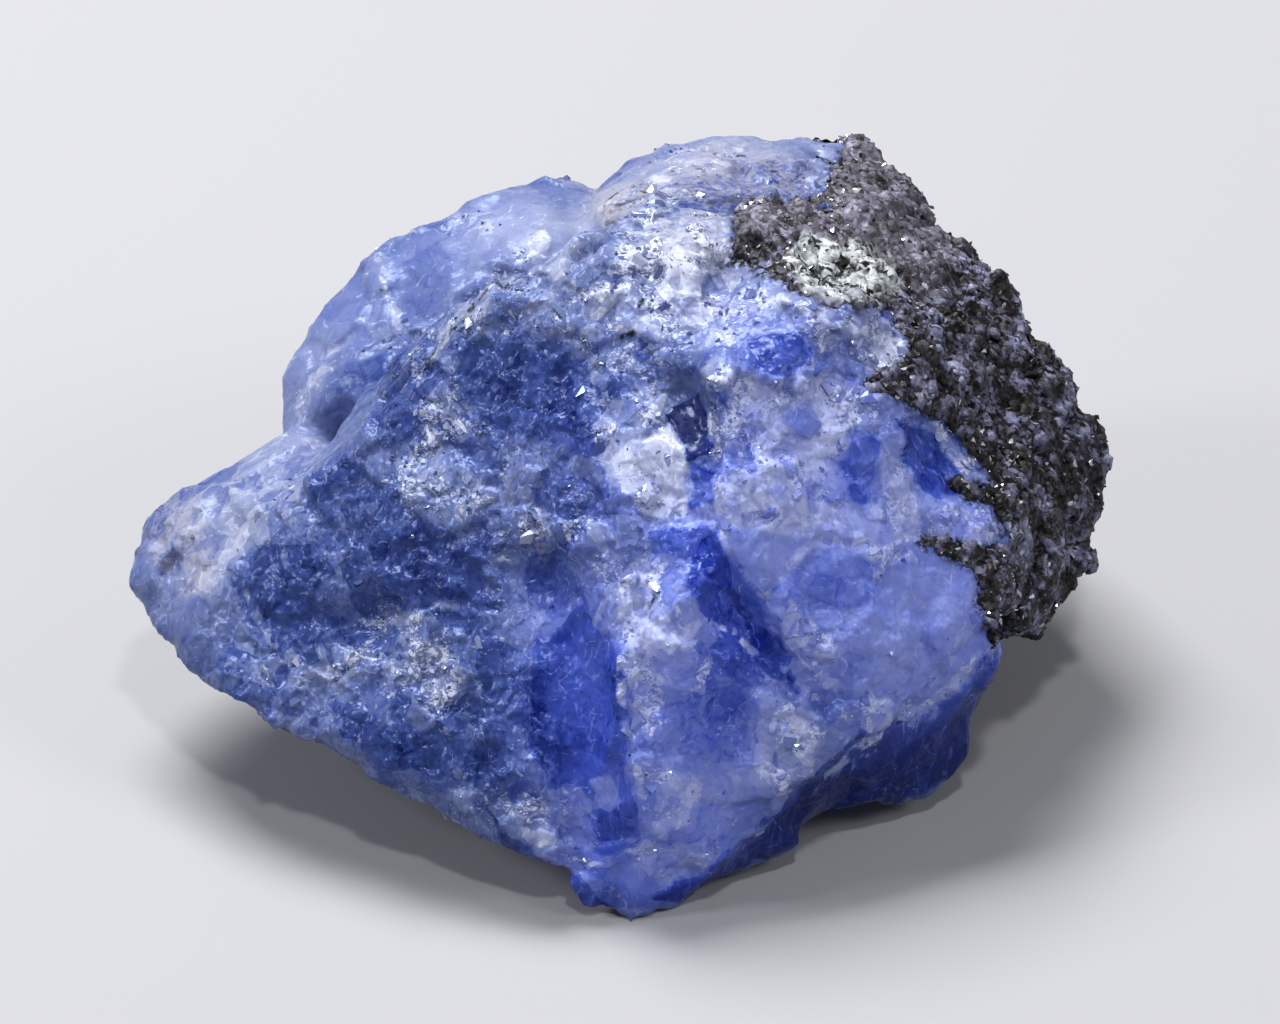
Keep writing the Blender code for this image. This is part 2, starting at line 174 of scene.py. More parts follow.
# Large facets with crisp borders, each paler or darker partly in its own tone and partly as painted light
# and shade of how it faces the light; the recess, the band beside the step and the bottom are painted shade:
# how much paler or darker they are, how flat and even, and the outline.
FACETS = {
    "white_flake": (0.3, 0.45, [
        (-1.1, 1.4), (-0.85, 2), (-0.2, 2.3), (0.5, 2.15), (0.8, 2.4), (1.1, 2.05), (1.3, 1.45), (1.1, 1.1),
        (1.05, 0.6), (0.5, 0.65), (-0.3, 0.55), (-0.8, 0.75),
    ]),
    # painted shade in the recess
    "recess": (-0.34, 0.95, [
        (0.66, 2.64), (1.64, 3.13), (1.72, 2.6), (1.78, 2.17), (1.81, 1.68), (1.29, 1.41), (1.15, 1.96),
        (0.82, 2.5),
    ]),
    # painted shade in the band left of the step's edge
    "step_dark": (-0.2, 0.6, [
        (1.5, -0.3), (2, -0.5), (2.6, -1.5), (3.2, -2.3), (3.4, -3), (3.6, -3.8), (3.1, -3.8), (2.9, -3),
        (2.4, -2.3), (1.8, -1.7), (1.4, -1.2), (1.6, -0.8),
    ]),
    "right_band": (0.2, 0.3, [
        (2.9, 0.5), (4.7, 0.3), (6.6, 0.2), (6.4, -0.8), (4.8, -0.7), (3.6, -0.6), (2.2, -0.3),
    ]),
    "right_left": (-0.02, 0.8, [
        (2.2, -0.35), (3.55, -0.65), (4.6, -0.9), (4.05, -1.55), (3.8, -1.95), (3.25, -2.2), (2.9, -1.95),
        (2.45, -1),
    ]),
    "right_dark": (-0.12, 0.8, [
        (4.6, -1), (5.25, -0.9), (6.3, -1.35), (6.4, -1.85), (6.1, -2.5), (5.25, -2.55), (4.65, -2.25),
        (3.8, -1.95),
    ]),
    "right_below": (0, 0.2, [
        (3.3, -2.2), (3.9, -2.1), (5, -2.6), (6, -2.5), (6.3, -2.8), (6.1, -3.6), (5.6, -4.4), (4.2, -4.4),
        (3.6, -3.4),
    ]),
    "right_plane": (0.05, 0.5, [
        (6.4, -1.7), (7.1, -1.5), (8.6, -1.6), (9.1, -1.7), (9.1, -2.9), (7.7, -4.2), (6.8, -5), (5.6, -5),
        (6.1, -3.6), (6.3, -2.2),
    ]),
    "right_side": (-0.06, 0.4, [
        (5.6, 2.2), (6.3, 2.2), (6.45, 1.2), (6.4, 0.3), (5.5, 0.1), (4.8, 0.2), (5.3, 0.6), (5.6, 1.2),
    ]),
    "right_round": (-0.06, 0.7, [
        (3.85, 2.45), (4.2, 2.85), (4.65, 2.7), (4.9, 2.35), (4.6, 1.95), (4.15, 2.2),
    ]),
    "right_high": (-0.1, 0.3, [(2.4, 5.3), (4.2, 5.4), (4.6, 5), (4.5, 3.9), (3.3, 3.5), (2.6, 4.2)]),
    "below_crest": (-0.08, 0.1, [
        (-1.2, 4.8), (1.6, 4.9), (2.4, 4.4), (1.7, 3.7), (0.7, 3.6), (-0.3, 3.4), (-1.2, 3),
    ]),
    # painted shade at the bottom tip
    "bottom": (-0.13, 0, [(-1.8, -9.2), (-0.4, -8.9), (2.6, -8.7), (2.2, -9.8), (0.4, -10.7), (-1, -10.6)]),
    "valley_shard": (0.22, 0.5, [(-1.4, -7.2), (-0.85, -7.1), (-0.5, -7.8), (-0.75, -8.1), (-1.05, -7.95)]),
    "lobe_face": (-0.12, 0.4, [(-7.2, 5), (-6.6, 6.6), (-5.4, 7.3), (-4.9, 6.4), (-5.6, 5.1)]),
    "lobe_low": (-0.1, 0.4, [(-8.8, 2.4), (-8.4, 3.8), (-6.9, 4.4), (-6.4, 4), (-7.6, 2.9)]),
    "lower_face": (-0.06, 0.1, [(0.9, -3.6), (2.2, -3.4), (3.2, -4.9), (2.6, -6.4), (1, -5.4)]),
}

# Thin dark lines painted near black, black specks of dust and painted shade in the groove behind the ridge,
# then thin white veins and facet borders: amount, half width and the line.
DARK_LINES = {
    "crest_speck": (1.2, 0.06, [(0, 5.45), (0.12, 5.75)]),
    "crest_speck_low": (1.2, 0.06, [(-0.5, 4.7), (-0.2, 4.85)]),
    "crest_speck_right": (1, 0.05, [(1, 4.2), (1.15, 4.45)]),
    "strip_speck": (1.2, 0.08, [(-0.35, 3.1), (-0.15, 3.25)]),
    "flake_speck": (1.1, 0.06, [(-1.15, 2.1), (-1, 1.85)]),
    "flake_speck_low": (1.1, 0.06, [(-0.95, 1), (-0.75, 0.6)]),
    "face_speck": (1, 0.08, [(-2.95, -0.2), (-2.7, -0.05)]),
    "face_speck_high": (0.7, 0.08, [(-2.3, 0.3), (-2.1, 0.6)]),
    "behind_crest": (0.8, 0.08, [(-0.6, 8.2), (0.6, 8.5), (2, 8.4), (3.2, 8.5), (4.2, 8.4)]),
    # painted shade in the groove behind the ridge
    "behind_ridge": (0.9, 0.07, [(-7, 3.2), (-6.5, 3.6), (-5.5, 4.4), (-4.6, 5.3), (-3.7, 6.3)]),
    "below_flake": (0.5, 0.05, [(-0.9, 1), (-0.5, 0.2), (0.4, -0.3), (1.1, -0.2)]),
}
VEINS = {
    "step_edge": (0.8, 0.1, [
        (1.8, 3.55), (1.9, 2.2), (1.9, 1.6), (2.1, 1.3), (2.05, -0.3), (2.3, -0.7), (3, -2.05), (3.35, -2.3),
        (3.7, -3.8), (4.2, -4.6), (5, -5.2), (5.6, -5.5),
    ]),
    "pocket_line": (0.9, 0.12, [(6.5, 2), (6.55, 1.2), (6.75, 0.2), (6.95, -0.4)]),
    "corner_line": (0.9, 0.12, [(7.4, -0.5), (6.7, -1), (6.4, -1.75)]),
    "facet_border": (0.75, 0.1, [
        (3.9, -1.3), (4.5, -0.9), (5, -1), (6.2, -1.3), (6.5, -1.7), (6.6, -1.4), (7.4, -0.9), (7.9, -0.7),
    ]),
    "facet_side": (0.5, 0.08, [(4.5, -0.9), (4, -1.4), (3.8, -2.1), (3.1, -2.3)]),
    "crest_line": (0.6, 0.1, [(-1.2, 4.9), (1.6, 5), (2.6, 4.5), (3, 3.3)]),
    "lower_edge": (1.1, 0.1, [(-0.5, -4), (-0.5, -5.5), (-0.2, -6.3), (0.1, -7.7), (0.6, -8.7)]),
    "left_vein": (0.9, 0.14, [(-9.2, -4.5), (-8.1, -4.1), (-7.4, -3.8), (-6.6, -4.1), (-6.3, -4.5)]),
    "left_vein_high": (0.9, 0.12, [(-7.5, -3), (-6.8, -2.95), (-6.1, -2.9), (-5.5, -2.6), (-5, -2.5)]),
    "round_arc": (0.5, 0.07, [
        (-3.1, -1.2), (-2.3, -1), (-1.6, -1.15), (-1, -1.6), (-0.8, -2.1), (-1.2, -3),
    ]),
    "left_arc": (0.7, 0.08, [(-10.6, -2.1), (-10.2, -3), (-9.9, -3.8), (-9.5, -4.5)]),
    "underside_rim": (0.9, 0.12, [(4.7, -7.4), (5.2, -7), (5.8, -6.4), (6.4, -6), (6.6, -5.5)]),
    "streak_high": (1, 0.09, [(2, -3), (2.55, -3.2)]),
    "streak_right": (1, 0.09, [(2.8, -3.45), (3.15, -3.85)]),
    "streak_left": (0.8, 0.12, [(1.2, -3.6), (1.6, -3.3)]),
    "bottom_rim": (0.7, 0.12, [(-3.5, -8), (-2.9, -8.3), (-2.2, -9), (-1.7, -9.4), (-0.9, -9.5)]),
    "lobe_vein": (0.6, 0.14, [(-9.2, 2.4), (-8.9, 3.6), (-7.6, 4.3), (-6.5, 4.7), (-5.4, 4.8)]),
    "lobe_vein_high": (0.5, 0.1, [(-7.1, 6.8), (-6.4, 4.8)]),
}

# Whole, glassy crystal is dark and deep blue. The same mark also darkens places as painted shade: the
# recess, the pocket, the hollow and the band beside the step, and the underside.
GLASSY_AND_SHADE = {
    "valley": (1, 0.35, [
        (-2.6, -3.4), (-1.5, -2.4), (-0.5, -3.8), (-0.4, -6.7), (0.1, -8.7), (-1.1, -9.1), (-2.1, -7.7),
        (-3, -6.3), (-3.1, -4.5),
    ]),
    "face_top": (0.5, 0.3, [
        (-5, 4.4), (-3.2, 4.9), (-2, 4.5), (-1.5, 3), (-1.1, 1.5), (-2.6, 1.7), (-4, 2.5), (-4.8, 3),
    ]),
    "face_middle": (0.42, 0.25, [
        (-7.3, -0.8), (-5.6, -0.2), (-4.4, -1.2), (-4.8, -2.4), (-6.3, -2.2), (-7.3, -1.7),
    ]),
    "face_round": (0.42, 0.2, [
        (-3.2, -1.3), (-2, -1), (-1.1, -1.7), (-0.8, -2.9), (-2.1, -3), (-3.1, -2.4),
    ]),
    "face_left": (0.55, 0.2, [
        (-11, -1.7), (-10.2, -0.9), (-8.9, -0.8), (-8.2, -1.6), (-9.1, -2.4), (-10.3, -3),
    ]),
    "face_left_low": (0.5, 0.3, [(-10.7, -2.4), (-9.1, -2.5), (-7.9, -2.9), (-8.3, -3.6), (-9.9, -3.4)]),
    "face_low": (0.6, 0.35, [
        (-8.3, -5), (-6.4, -5.9), (-3.8, -6.3), (-3.2, -7.5), (-5.1, -7.3), (-7, -6.9), (-8.1, -6),
    ]),
    # painted shade in the recess
    "recess": (1.6, 0.06, RECESS),
    # painted shade in the lower end of the recess
    "recess_low": (0.8, 0.1, [(1.37, 1.35), (1.92, 1), (1.89, 0.26), (1.26, 0.04), (1.07, 0.9)]),
    # painted shadow in the band beside the step
    "step_shadow": (1.3, 0.1, [
        (1.3, -1), (2, -0.4), (2.7, -2.3), (3.8, -3.8), (4.3, -4.8), (3.2, -4.1), (2, -3), (1.3, -2.1),
    ]),
    "strip_facet": (0.7, 0.15, [(0.3, -0.5), (1.7, -0.2), (1.9, -0.5), (1.2, -1.3), (0.4, -1.1)]),
    "right_top_patch": (1, 0.15, [(2.8, 4.7), (4.3, 4.9), (4.7, 4.3), (4, 3.6), (3.1, 3.8)]),
    "right_side_patch": (0.7, 0.2, [
        (5.5, 2.1), (6.3, 2.2), (6.4, 0.9), (6.1, -0.1), (5.6, 0.3), (5.3, 1.3),
    ]),
    "right_small_patch": (0.6, 0.2, [(2.1, 2.1), (2.9, 2.2), (3, 1.1), (2.3, 0.9)]),
    "right_facet": (0.5, 0.12, [
        (3.7, -2.1), (4.6, -1.3), (5.5, -1), (6.3, -1.4), (6.4, -2.1), (5.4, -2.8), (4.3, -2.7),
    ]),
    "right_round": (0.6, 0.12, [(3.9, 2.6), (4.6, 3), (4.9, 2.3), (4.3, 1.9)]),
    "lower_inside": (0.5, 0.3, [(0.7, -5), (2.1, -4.5), (3.2, -5), (3, -6.7), (1.3, -6.9)]),
    # painted shade in the hollow left of the step
    "lower_hollow": (0.7, 0.2, [(2, -3.2), (2.8, -3.3), (3.4, -4.5), (2.7, -4.8), (1.9, -4)]),
    # painted shade in the pocket
    "pocket": (1.5, 0.1, [(6.8, 2.5), (7.7, 2.3), (8.3, 1.5), (8.6, 0.6), (8.1, 0.3), (7.4, 0.9), (7, 1.7)]),
    # painted shade on the underside
    "underside": (1.4, 0.15, [
        (0.4, -10.4), (3.2, -8.7), (5.9, -6), (7.9, -5.4), (9.8, -3.7), (9.9, -5), (8.6, -7.1), (6.4, -8),
        (3.2, -9.3), (1.3, -10.4),
    ]),
    # painted shade under the tip
    "tip_under": (1, 0.15, [
        (-4.2, -8), (-3.2, -8.8), (-2.1, -9.6), (-1.1, -10.3), (-0.8, -10.7), (-1.7, -10.6), (-2.7, -9.9),
        (-3.9, -8.4),
    ]),
    "lobe_face": (0.35, 0.3, [(-8.9, 3), (-7.5, 4.4), (-5.8, 4.8), (-6.4, 3.8), (-8.1, 2.9)]),
}

# A thin brownish film of schist.
BROWNISH = {
    "recess": (0.05, 0.05, RECESS),
    "arm_tip": (0.45, 0.3, [
        (-13.4, -0.5), (-12.9, 0.3), (-12, 0.6), (-11.7, -0.2), (-12.1, -1.8), (-12.9, -1.6),
    ]),
    "arm_streak": (0.5, 0.2, [(-12.5, -2.4), (-12.1, -1.3), (-11.4, -0.9), (-11.7, -2.1)]),
    "back_rim": (0.8, 0.3, [(-1.6, 8), (-1.3, 8.6), (0, 9), (0.4, 8.4), (-0.8, 7.6)]),
    "back_top": (0.5, 0.4, [(0, 9), (1.5, 9.8), (3.4, 9.9), (4.8, 9.4), (4.4, 8.4), (1.2, 8.3)]),
    "crest_top": (0.35, 0.3, [(-0.3, 7.6), (1.6, 8.1), (2.5, 8), (2.6, 7.2), (2.2, 6.7), (1, 6.9)]),
    "crest_edge": (0.6, 0.15, [(2.2, 6.7), (2.4, 7), (3, 6.7), (2.8, 6.4), (2.4, 6.4)]),
    "upper_specks": (0.35, 0.3, [(-3.2, -0.1), (-2.6, 0), (-2.3, -0.9), (-2.8, -1.3), (-3.2, -0.8)]),
}

# Clear violet blue, all through the stone: from, to, half width and strength. The rest is granular
# and greyer, and a strength below 0 keeps the violet off.
VIOLET = {
    "right_block": ((4.0, -2.0, 10.2), (7.4, -2.4, 7.4), 4.2, 1.3),
    "lower_block": ((1.4, -5.2, 6.4), (1.0, -6.2, 2.6), 2.2, 1.2),
    "back_left": ((-8.6, 8.0, 9.6), (-4.6, 9.6, 11.4), 2.6, 0.1),
    "valley": ((-2.0, -3.4, 7.0), (-1.5, -5.8, 3.6), 1.3, 0.7),
    "tip": ((-1.6, -6.5, 1.6), (1.2, -6.5, 1.4), 1.2, 0.6),
    "recess": ((1.3, -0.3, 12.6), (1.4, -1.2, 12.0), 1.0, -0.9),
}

# Stretches that are milky all through, and those that broke smoothly.
MILKY = {
    "arm": ((-12.0, 1.4, 5.6), (-9.4, 4.2, 8.0), 2.2, 0.4),
    "back_left": ((-9.0, 7.4, 8.8), (-4.0, 9.8, 11.6), 2.8, 0.37),
    "back_top": ((-1.0, 9.4, 12.4), (3.0, 13.0, 12.4), 2.6, 0.62),
    "crest": ((-1.5, 3.6, 14.0), (4.0, 2.0, 13.9), 1.8, 0.52),
}
SMOOTH = {
    "arm": ((-12.4, 1.0, 5.0), (-9.4, 4.2, 7.0), 2.6, 0.9),
    "back_left": ((-9.0, 7.4, 8.8), (-4.0, 9.8, 11.6), 3.0, 0.9),
    "back_top": ((-1.0, 9.4, 12.4), (3.0, 13.0, 12.4), 2.4, 0.8),
    "right_block": ((5.0, -2.6, 8.8), (8.2, -1.6, 7.0), 2.4, 0.9),
    "valley": ((-2.0, -3.4, 7.0), (-1.5, -5.8, 3.6), 1.3, 0.8),
    "underside": ((1.0, -5.0, 0.6), (9.0, -1.0, 3.0), 2.4, 0.8),
    "tip": ((-0.6, -7.0, 0.4), (0.6, -7.0, 0.4), 1.2, 0.9),
    "white_flake": ((0.2, -1.0, 11.6), (0.4, -1.6, 11.2), 0.8, 0.4),
    "recess": ((1.3, -0.3, 12.6), (1.4, -1.2, 12.0), 0.6, 1.0),
}


def settled(obj, name):
    """A plain mesh object with obj's modifiers made part of its shape; obj is removed."""
    graph = bpy.context.evaluated_depsgraph_get()
    mesh = bpy.data.meshes.new_from_object(obj.evaluated_get(graph))
    bpy.data.objects.remove(obj, do_unlink=True)
    return placed(mesh, name)


def placed(mesh, name):
    """A new object of a mesh, in the scene."""
    mesh.name = name
    made = bpy.data.objects.new(name, mesh)
    bpy.context.scene.collection.objects.link(made)
    return made


def fine_body():
    """The CAD stone in small even faces, with its coarse facets smoothed off."""
    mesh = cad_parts[STONE].data.copy()
    bm = bmesh.new()
    bm.from_mesh(mesh)
    bmesh.ops.remove_doubles(bm, verts=bm.verts, dist=WELD * MM)
    bm.to_mesh(mesh)
    bm.free()
    body = placed(mesh, "fine_body")
    even = body.modifiers.new("even", "REMESH")
    even.mode = "VOXEL"
    even.voxel_size = BODY_GRAIN * MM
    soft = body.modifiers.new("soft", "SMOOTH")
    soft.factor = 0.5
    soft.iterations = SMOOTHING
    return settled(body, "fine_body")


def view_way():
    """The direction from the stone to the camera."""
    return np.array((0, -math.cos(CAMERA_TILT), math.sin(CAMERA_TILT)))


def subdivide_front(obj):
    """Halves the faces that the photograph shows."""
    toward = Vector(view_way())
    bm = bmesh.new()
    bm.from_mesh(obj.data)
    shown = {f for f in bm.faces if f.normal.dot(toward) > -0.05}
    edges = [e for e in bm.edges if all(f in shown for f in e.link_faces)]
    bmesh.ops.subdivide_edges(bm, edges=edges, cuts=1, use_grid_fill=True)
    bmesh.ops.triangulate(bm, faces=[f for f in bm.faces if len(f.verts) > 4])
    bm.to_mesh(obj.data)
    bm.free()


def read(items, key, width=1):
    """One number or vector of every vertex or attribute value, as an array."""
    flat = np.empty(len(items) * width, np.float32)
    items.foreach_get(key, flat)
    return flat.reshape(-1, width) if width > 1 else flat


def places(mesh):
    """Every vertex in the millimetres that the planes and the regions through the stone are given in."""
    return read(mesh.vertices, "co", 3) / MM + np.array(CENTRE)


def picture_places(points):
    """Where the camera sees each point, in the millimetres that the outlines are given in."""
    away = points - np.array(CAMERA_AIM)
    up = np.array((0, math.sin(CAMERA_TILT), math.cos(CAMERA_TILT)))
    nearness = CAMERA_DISTANCE / (CAMERA_DISTANCE - away @ view_way())
    return np.stack((away[:, 0], away @ up), axis=1) * nearness[:, None]


def wandering(points, size, reach, seed):
    """Smooth random numbers between -reach and reach, one for each point."""
    away = Vector((seed, seed, seed))
    return reach * np.array([noise.noise(Vector(p) / size + away) for p in points])


def smoothstep(low, high, values):
    """0 at low and 1 at high, or the other way round, smooth between them."""
    t = np.clip((values - low) / (high - low), 0, 1)
    return t * t * (3 - 2 * t)


def away_from(points, line):
    """How far each point lies from a line through the given corners."""
    nearest = np.full(len(points), np.inf)
    for start, end in zip(line, line[1:]):
        start, run = np.array(start), np.array(end) - np.array(start)
        away = points - start
        along = np.clip(away @ run / (run @ run), 0, 1)
        nearest = np.minimum(nearest, np.linalg.norm(away - along[:, None] * run, axis=1))
    return nearest


def inside(points, outline):
    """How far each point of the picture lies inside an outline; negative is outside."""
    closed = outline + outline[:1]
    within = np.zeros(len(points), bool)
    for start, end in zip(closed, closed[1:]):
        away, run = points - np.array(start), np.array(end) - np.array(start)
        if run[1]:
            crosses = (away[:, 1] < 0) != (away[:, 1] < run[1])
            within ^= crosses & (away[:, 0] < away[:, 1] * run[0] / run[1])
    nearest = away_from(points, closed)
    return np.where(within, nearest, -nearest)


def covered(points, outlines):
    """How strongly soft-edged outlines cover each point of the picture."""
    total = np.zeros(len(points))
    for amount, soft, outline in outlines.values():
        low, high = np.min(outline, axis=0) - soft, np.max(outline, axis=0) + soft
        near = np.nonzero(np.all((points > low) & (points < high), axis=1))[0]
        share = amount * smoothstep(-soft, soft, inside(points[near], outline))
        total[near] = np.maximum(total[near], share) + 0.3 * np.minimum(total[near], share)
    return total


def veined(points, veins):
    """How strongly thin veins cover each point of the picture."""
    total = np.zeros(len(points))
    for amount, width, line in veins.values():
        total = np.maximum(total, amount * smoothstep(1.5 * width, 0.5 * width, away_from(points, line)))
    return total


def strength(points, regions):
    """How strongly regions given all through the stone cover each point."""
    total = np.zeros(len(points))
    for start, end, width, amount in regions.values():
        away = away_from(points, [start, end]) / width
        total += amount * np.exp(-away * away)
    return np.clip(total, 0, 1)


def schist_depth(points, seen, shown):
    """How far each point lies inside the schist, in millimetres, with a ragged border.

    The outline holds where the photograph shows the stone, and the two planes hold behind it.
    """
    beyond = (points @ np.array(way) - distance for way, distance in (SCHIST_FRONT, SCHIST_LEFT))
    hidden = np.minimum(*beyond)
    hidden += wandering(points, 1.6, 0.7, 0.0)
    return shown * inside(seen, SCHIST_OUTLINE) + (1 - shown) * hidden + wandering(points, 0.35, 0.16, 4.0)


def facet_marks(seen, shown):
    """How much paler or darker the large facets make each point, in their own tone and as painted light and
    shade, and how flat and even they keep it.
    """
    tones, calm = np.zeros(len(seen)), np.zeros(len(seen))
    for tone, flatness, outline in FACETS.values():
        share = shown * smoothstep(-0.05, 0.05, inside(seen, outline))
        tones += tone * share
        calm = np.maximum(calm, flatness * share)
    return tones, calm


def mark(mesh, name, values):
    """Keeps one number a vertex on the mesh, for its material to read."""
    attribute = mesh.attributes.new(name, "FLOAT", "POINT")
    attribute.data.foreach_set("value", np.asarray(values, np.float32))


def mark_regions(mesh):
    """Marks at each point the schist, the kinds of crystal, the roughness, and how thick grains lie."""
    points = places(mesh)
    shown = smoothstep(-0.15, 0.12, read(mesh.vertex_normals, "vector", 3) @ view_way())
    seen = picture_places(points)
    warps = (wandering(points, 0.55, 0.16, seed) + wandering(points, 0.2, 0.07, seed + 5) for seed in (1, 2))
    warp = np.stack(list(warps), axis=1)
    depth = schist_depth(points, seen, shown)
    broken_up = smoothstep(-0.25, 0.1, wandering(points, 0.5, 1.0, 51.0))
    # dark lines: black specks, and painted shade in the groove behind the ridge
    veins = shown * broken_up * veined(seen + 0.4 * warp, VEINS)
    dust_and_shade_lines = shown * broken_up * veined(seen + 0.4 * warp, DARK_LINES)
    seen = seen + warp
    facets, calm = facet_marks(seen - 0.6 * warp, shown)

    # the hidden sides have patches of both kinds, placed at random
    ragged = wandering(points, 0.6, 0.35, 23.0)
    patches = smoothstep(0.05, 0.35, wandering(points, 1.9, 1.0, 21.0) + ragged)
    clear = smoothstep(0.05, 0.35, wandering(points, 2.6, 1.0, 27.0) - ragged) * (1 - patches)
    crushed = (1 - calm) * shown * covered(seen, CRUSHED) + (1 - shown) * 0.55 * patches
    crushed = np.maximum(crushed, veins)
    # dark glassy crystal, and painted shade where the outline is the recess, the pocket, the hollow, the
    # step's band or the underside
    glassy_and_shade = (1 - 0.7 * calm) * shown * covered(seen, GLASSY_AND_SHADE) + (1 - shown) * 0.6 * clear
    glassy_and_shade *= 1 - np.clip(veins, 0, 1)
    partly_crushed, partly_glassy_and_shade = np.clip(crushed, 0, 1), np.clip(glassy_and_shade, 0, 1)

    smooth = np.maximum(strength(points, SMOOTH) * (1 - 0.7 * partly_crushed), calm)
    violet = strength(points, VIOLET)
    even = shown * smoothstep(-0.6, 0.6, inside(seen, LEFT_FACE))
    granular = (1 - 0.8 * violet) * np.clip(1 - glassy_and_shade, 0.15, 1) * (1 - smooth)
    off_the_arm = 0.2 + 0.8 * smoothstep(-9.0, -6.0, points[:, 0])
    clusters = smoothstep(-0.15, 0.3, wandering(points, 0.7, 1.0, 31.0)) * (1 - 0.6 * smooth)
    shattered = clusters * (crushed + 0.22 * granular) * (1 - partly_glassy_and_shade) * (1 - calm)
    shattered *= off_the_arm * (0.5 + 0.5 * shown)
    specks = 0.15 + 0.85 * smoothstep(0.25, 0.5, wandering(points, 0.8, 1.0, 41.0))
    marks = {
        "schist": depth,
        "crushed": np.clip(crushed, 0, 1.6),
        "glassy_and_shade": np.clip(glassy_and_shade, 0, 1.6),
        "brownish": shown * covered(seen, BROWNISH),
        "violet": violet,
        "smooth": smooth,
        "milky": strength(points, MILKY),
        "facets": facets,
        "dust_and_shade_lines": dust_and_shade_lines,
        "pinkish": shown * smoothstep(-0.3, 0.2, inside(seen, PINKISH_SCHIST)),
        "greenish": shown * smoothstep(-0.2, 0.2, inside(seen, GREENISH_PATCH)),
        "coarse": (1 - 0.3 * partly_glassy_and_shade) * (1 - 0.4 * smooth) * (1 - 0.55 * even) * (1 - 0.6 * calm),
        "fine": (0.45 + 0.3 * partly_crushed + 0.2 * granular) * (1 - 0.75 * smooth),
        "splinters": np.clip(shattered, 0, 1.2),
        "specks": specks * (1 - smooth) * off_the_arm,
    }
    for name, values in marks.items():
        mark(mesh, name, values)


def part_of(body, name, keep, sink):
    """The faces of the body where keep is true, pushed along their normals by sink millimetres."""
    mesh = body.data.copy()
    moved = read(mesh.vertices, "co", 3) + read(mesh.vertex_normals, "vector", 3) * sink[:, None] * MM
    mesh.vertices.foreach_set("co", moved.ravel().astype(np.float32))
    bm = bmesh.new()
    bm.from_mesh(mesh)
    bm.verts.ensure_lookup_table()
    bmesh.ops.delete(bm, geom=[bm.verts[i] for i in np.nonzero(~keep)[0]], context="VERTS")
    bm.to_mesh(mesh)
    bm.free()
    return placed(mesh, name)


def node(tree, kind, inputs=None, **settings):
    """A node with its settings, and with its inputs joined to sockets or set to values."""
    made = tree.nodes.new(kind)
    for key, value in settings.items():
        setattr(made, key, value)
    for key, value in (inputs or {}).items():
        plug(tree, made.inputs[key], value)
    return made


def plug(tree, socket, value):
    if isinstance(value, bpy.types.NodeSocket):
        tree.links.new(value, socket)
    else:
        socket.default_value = value


def maths(tree, operation, *values, clamp=False):
    made = node(tree, "ShaderNodeMath", operation=operation, use_clamp=clamp)
    for socket, value in zip(made.inputs, values):
        plug(tree, socket, value)
    return made.outputs[0]


def total(tree, start, *terms, clamp=False):
    """A sum of weighted numbers: start plus weight times value for each term."""
    for i, (value, weight) in enumerate(terms):
        start = maths(tree, "MULTIPLY_ADD", value, weight, start, clamp=clamp and i == len(terms) - 1)
    return start


def vectors(tree, operation, *values):
    made = node(tree, "ShaderNodeVectorMath", operation=operation)
    for socket, value in zip(made.inputs, values):
        plug(tree, socket, value)
    return made.outputs["Value" if operation in ("DOT_PRODUCT", "LENGTH") else "Vector"]


def scaled(tree, vector, number):
    made = node(tree, "ShaderNodeVectorMath", {0: vector}, operation="SCALE")
    plug(tree, made.inputs["Scale"], number)
    return made.outputs[0]


def step_between(tree, value, low, high):
    """0 below low and 1 above high, or the other way round, smooth between them."""
    made = node(tree, "ShaderNodeMapRange", interpolation_type="SMOOTHSTEP")
    for socket, number in zip(made.inputs, (value, low, high, 0.0, 1.0)):
        plug(tree, socket, number)
    return made.outputs[0]


def group_of(kind, name, inputs, outputs):
    """An empty node group with named sockets; returns it with its two end nodes."""
    tree = bpy.data.node_groups.new(name, kind)
    for label, socket, default in inputs:
        made = tree.interface.new_socket(label, in_out="INPUT", socket_type=socket)
        if default is not None:
            made.default_value = default
    for label, socket in outputs:
        tree.interface.new_socket(label, in_out="OUTPUT", socket_type=socket)
    return tree, tree.nodes.new("NodeGroupInput"), tree.nodes.new("NodeGroupOutput")


def uses(tree, group, inputs):
    """One use of a node group in a tree."""
    kind = "ShaderNodeGroup" if tree.bl_idname == "ShaderNodeTree" else "GeometryNodeGroup"
    made = node(tree, kind, node_tree=group)
    for key, value in inputs.items():
        plug(tree, made.inputs[key], value)
    return made


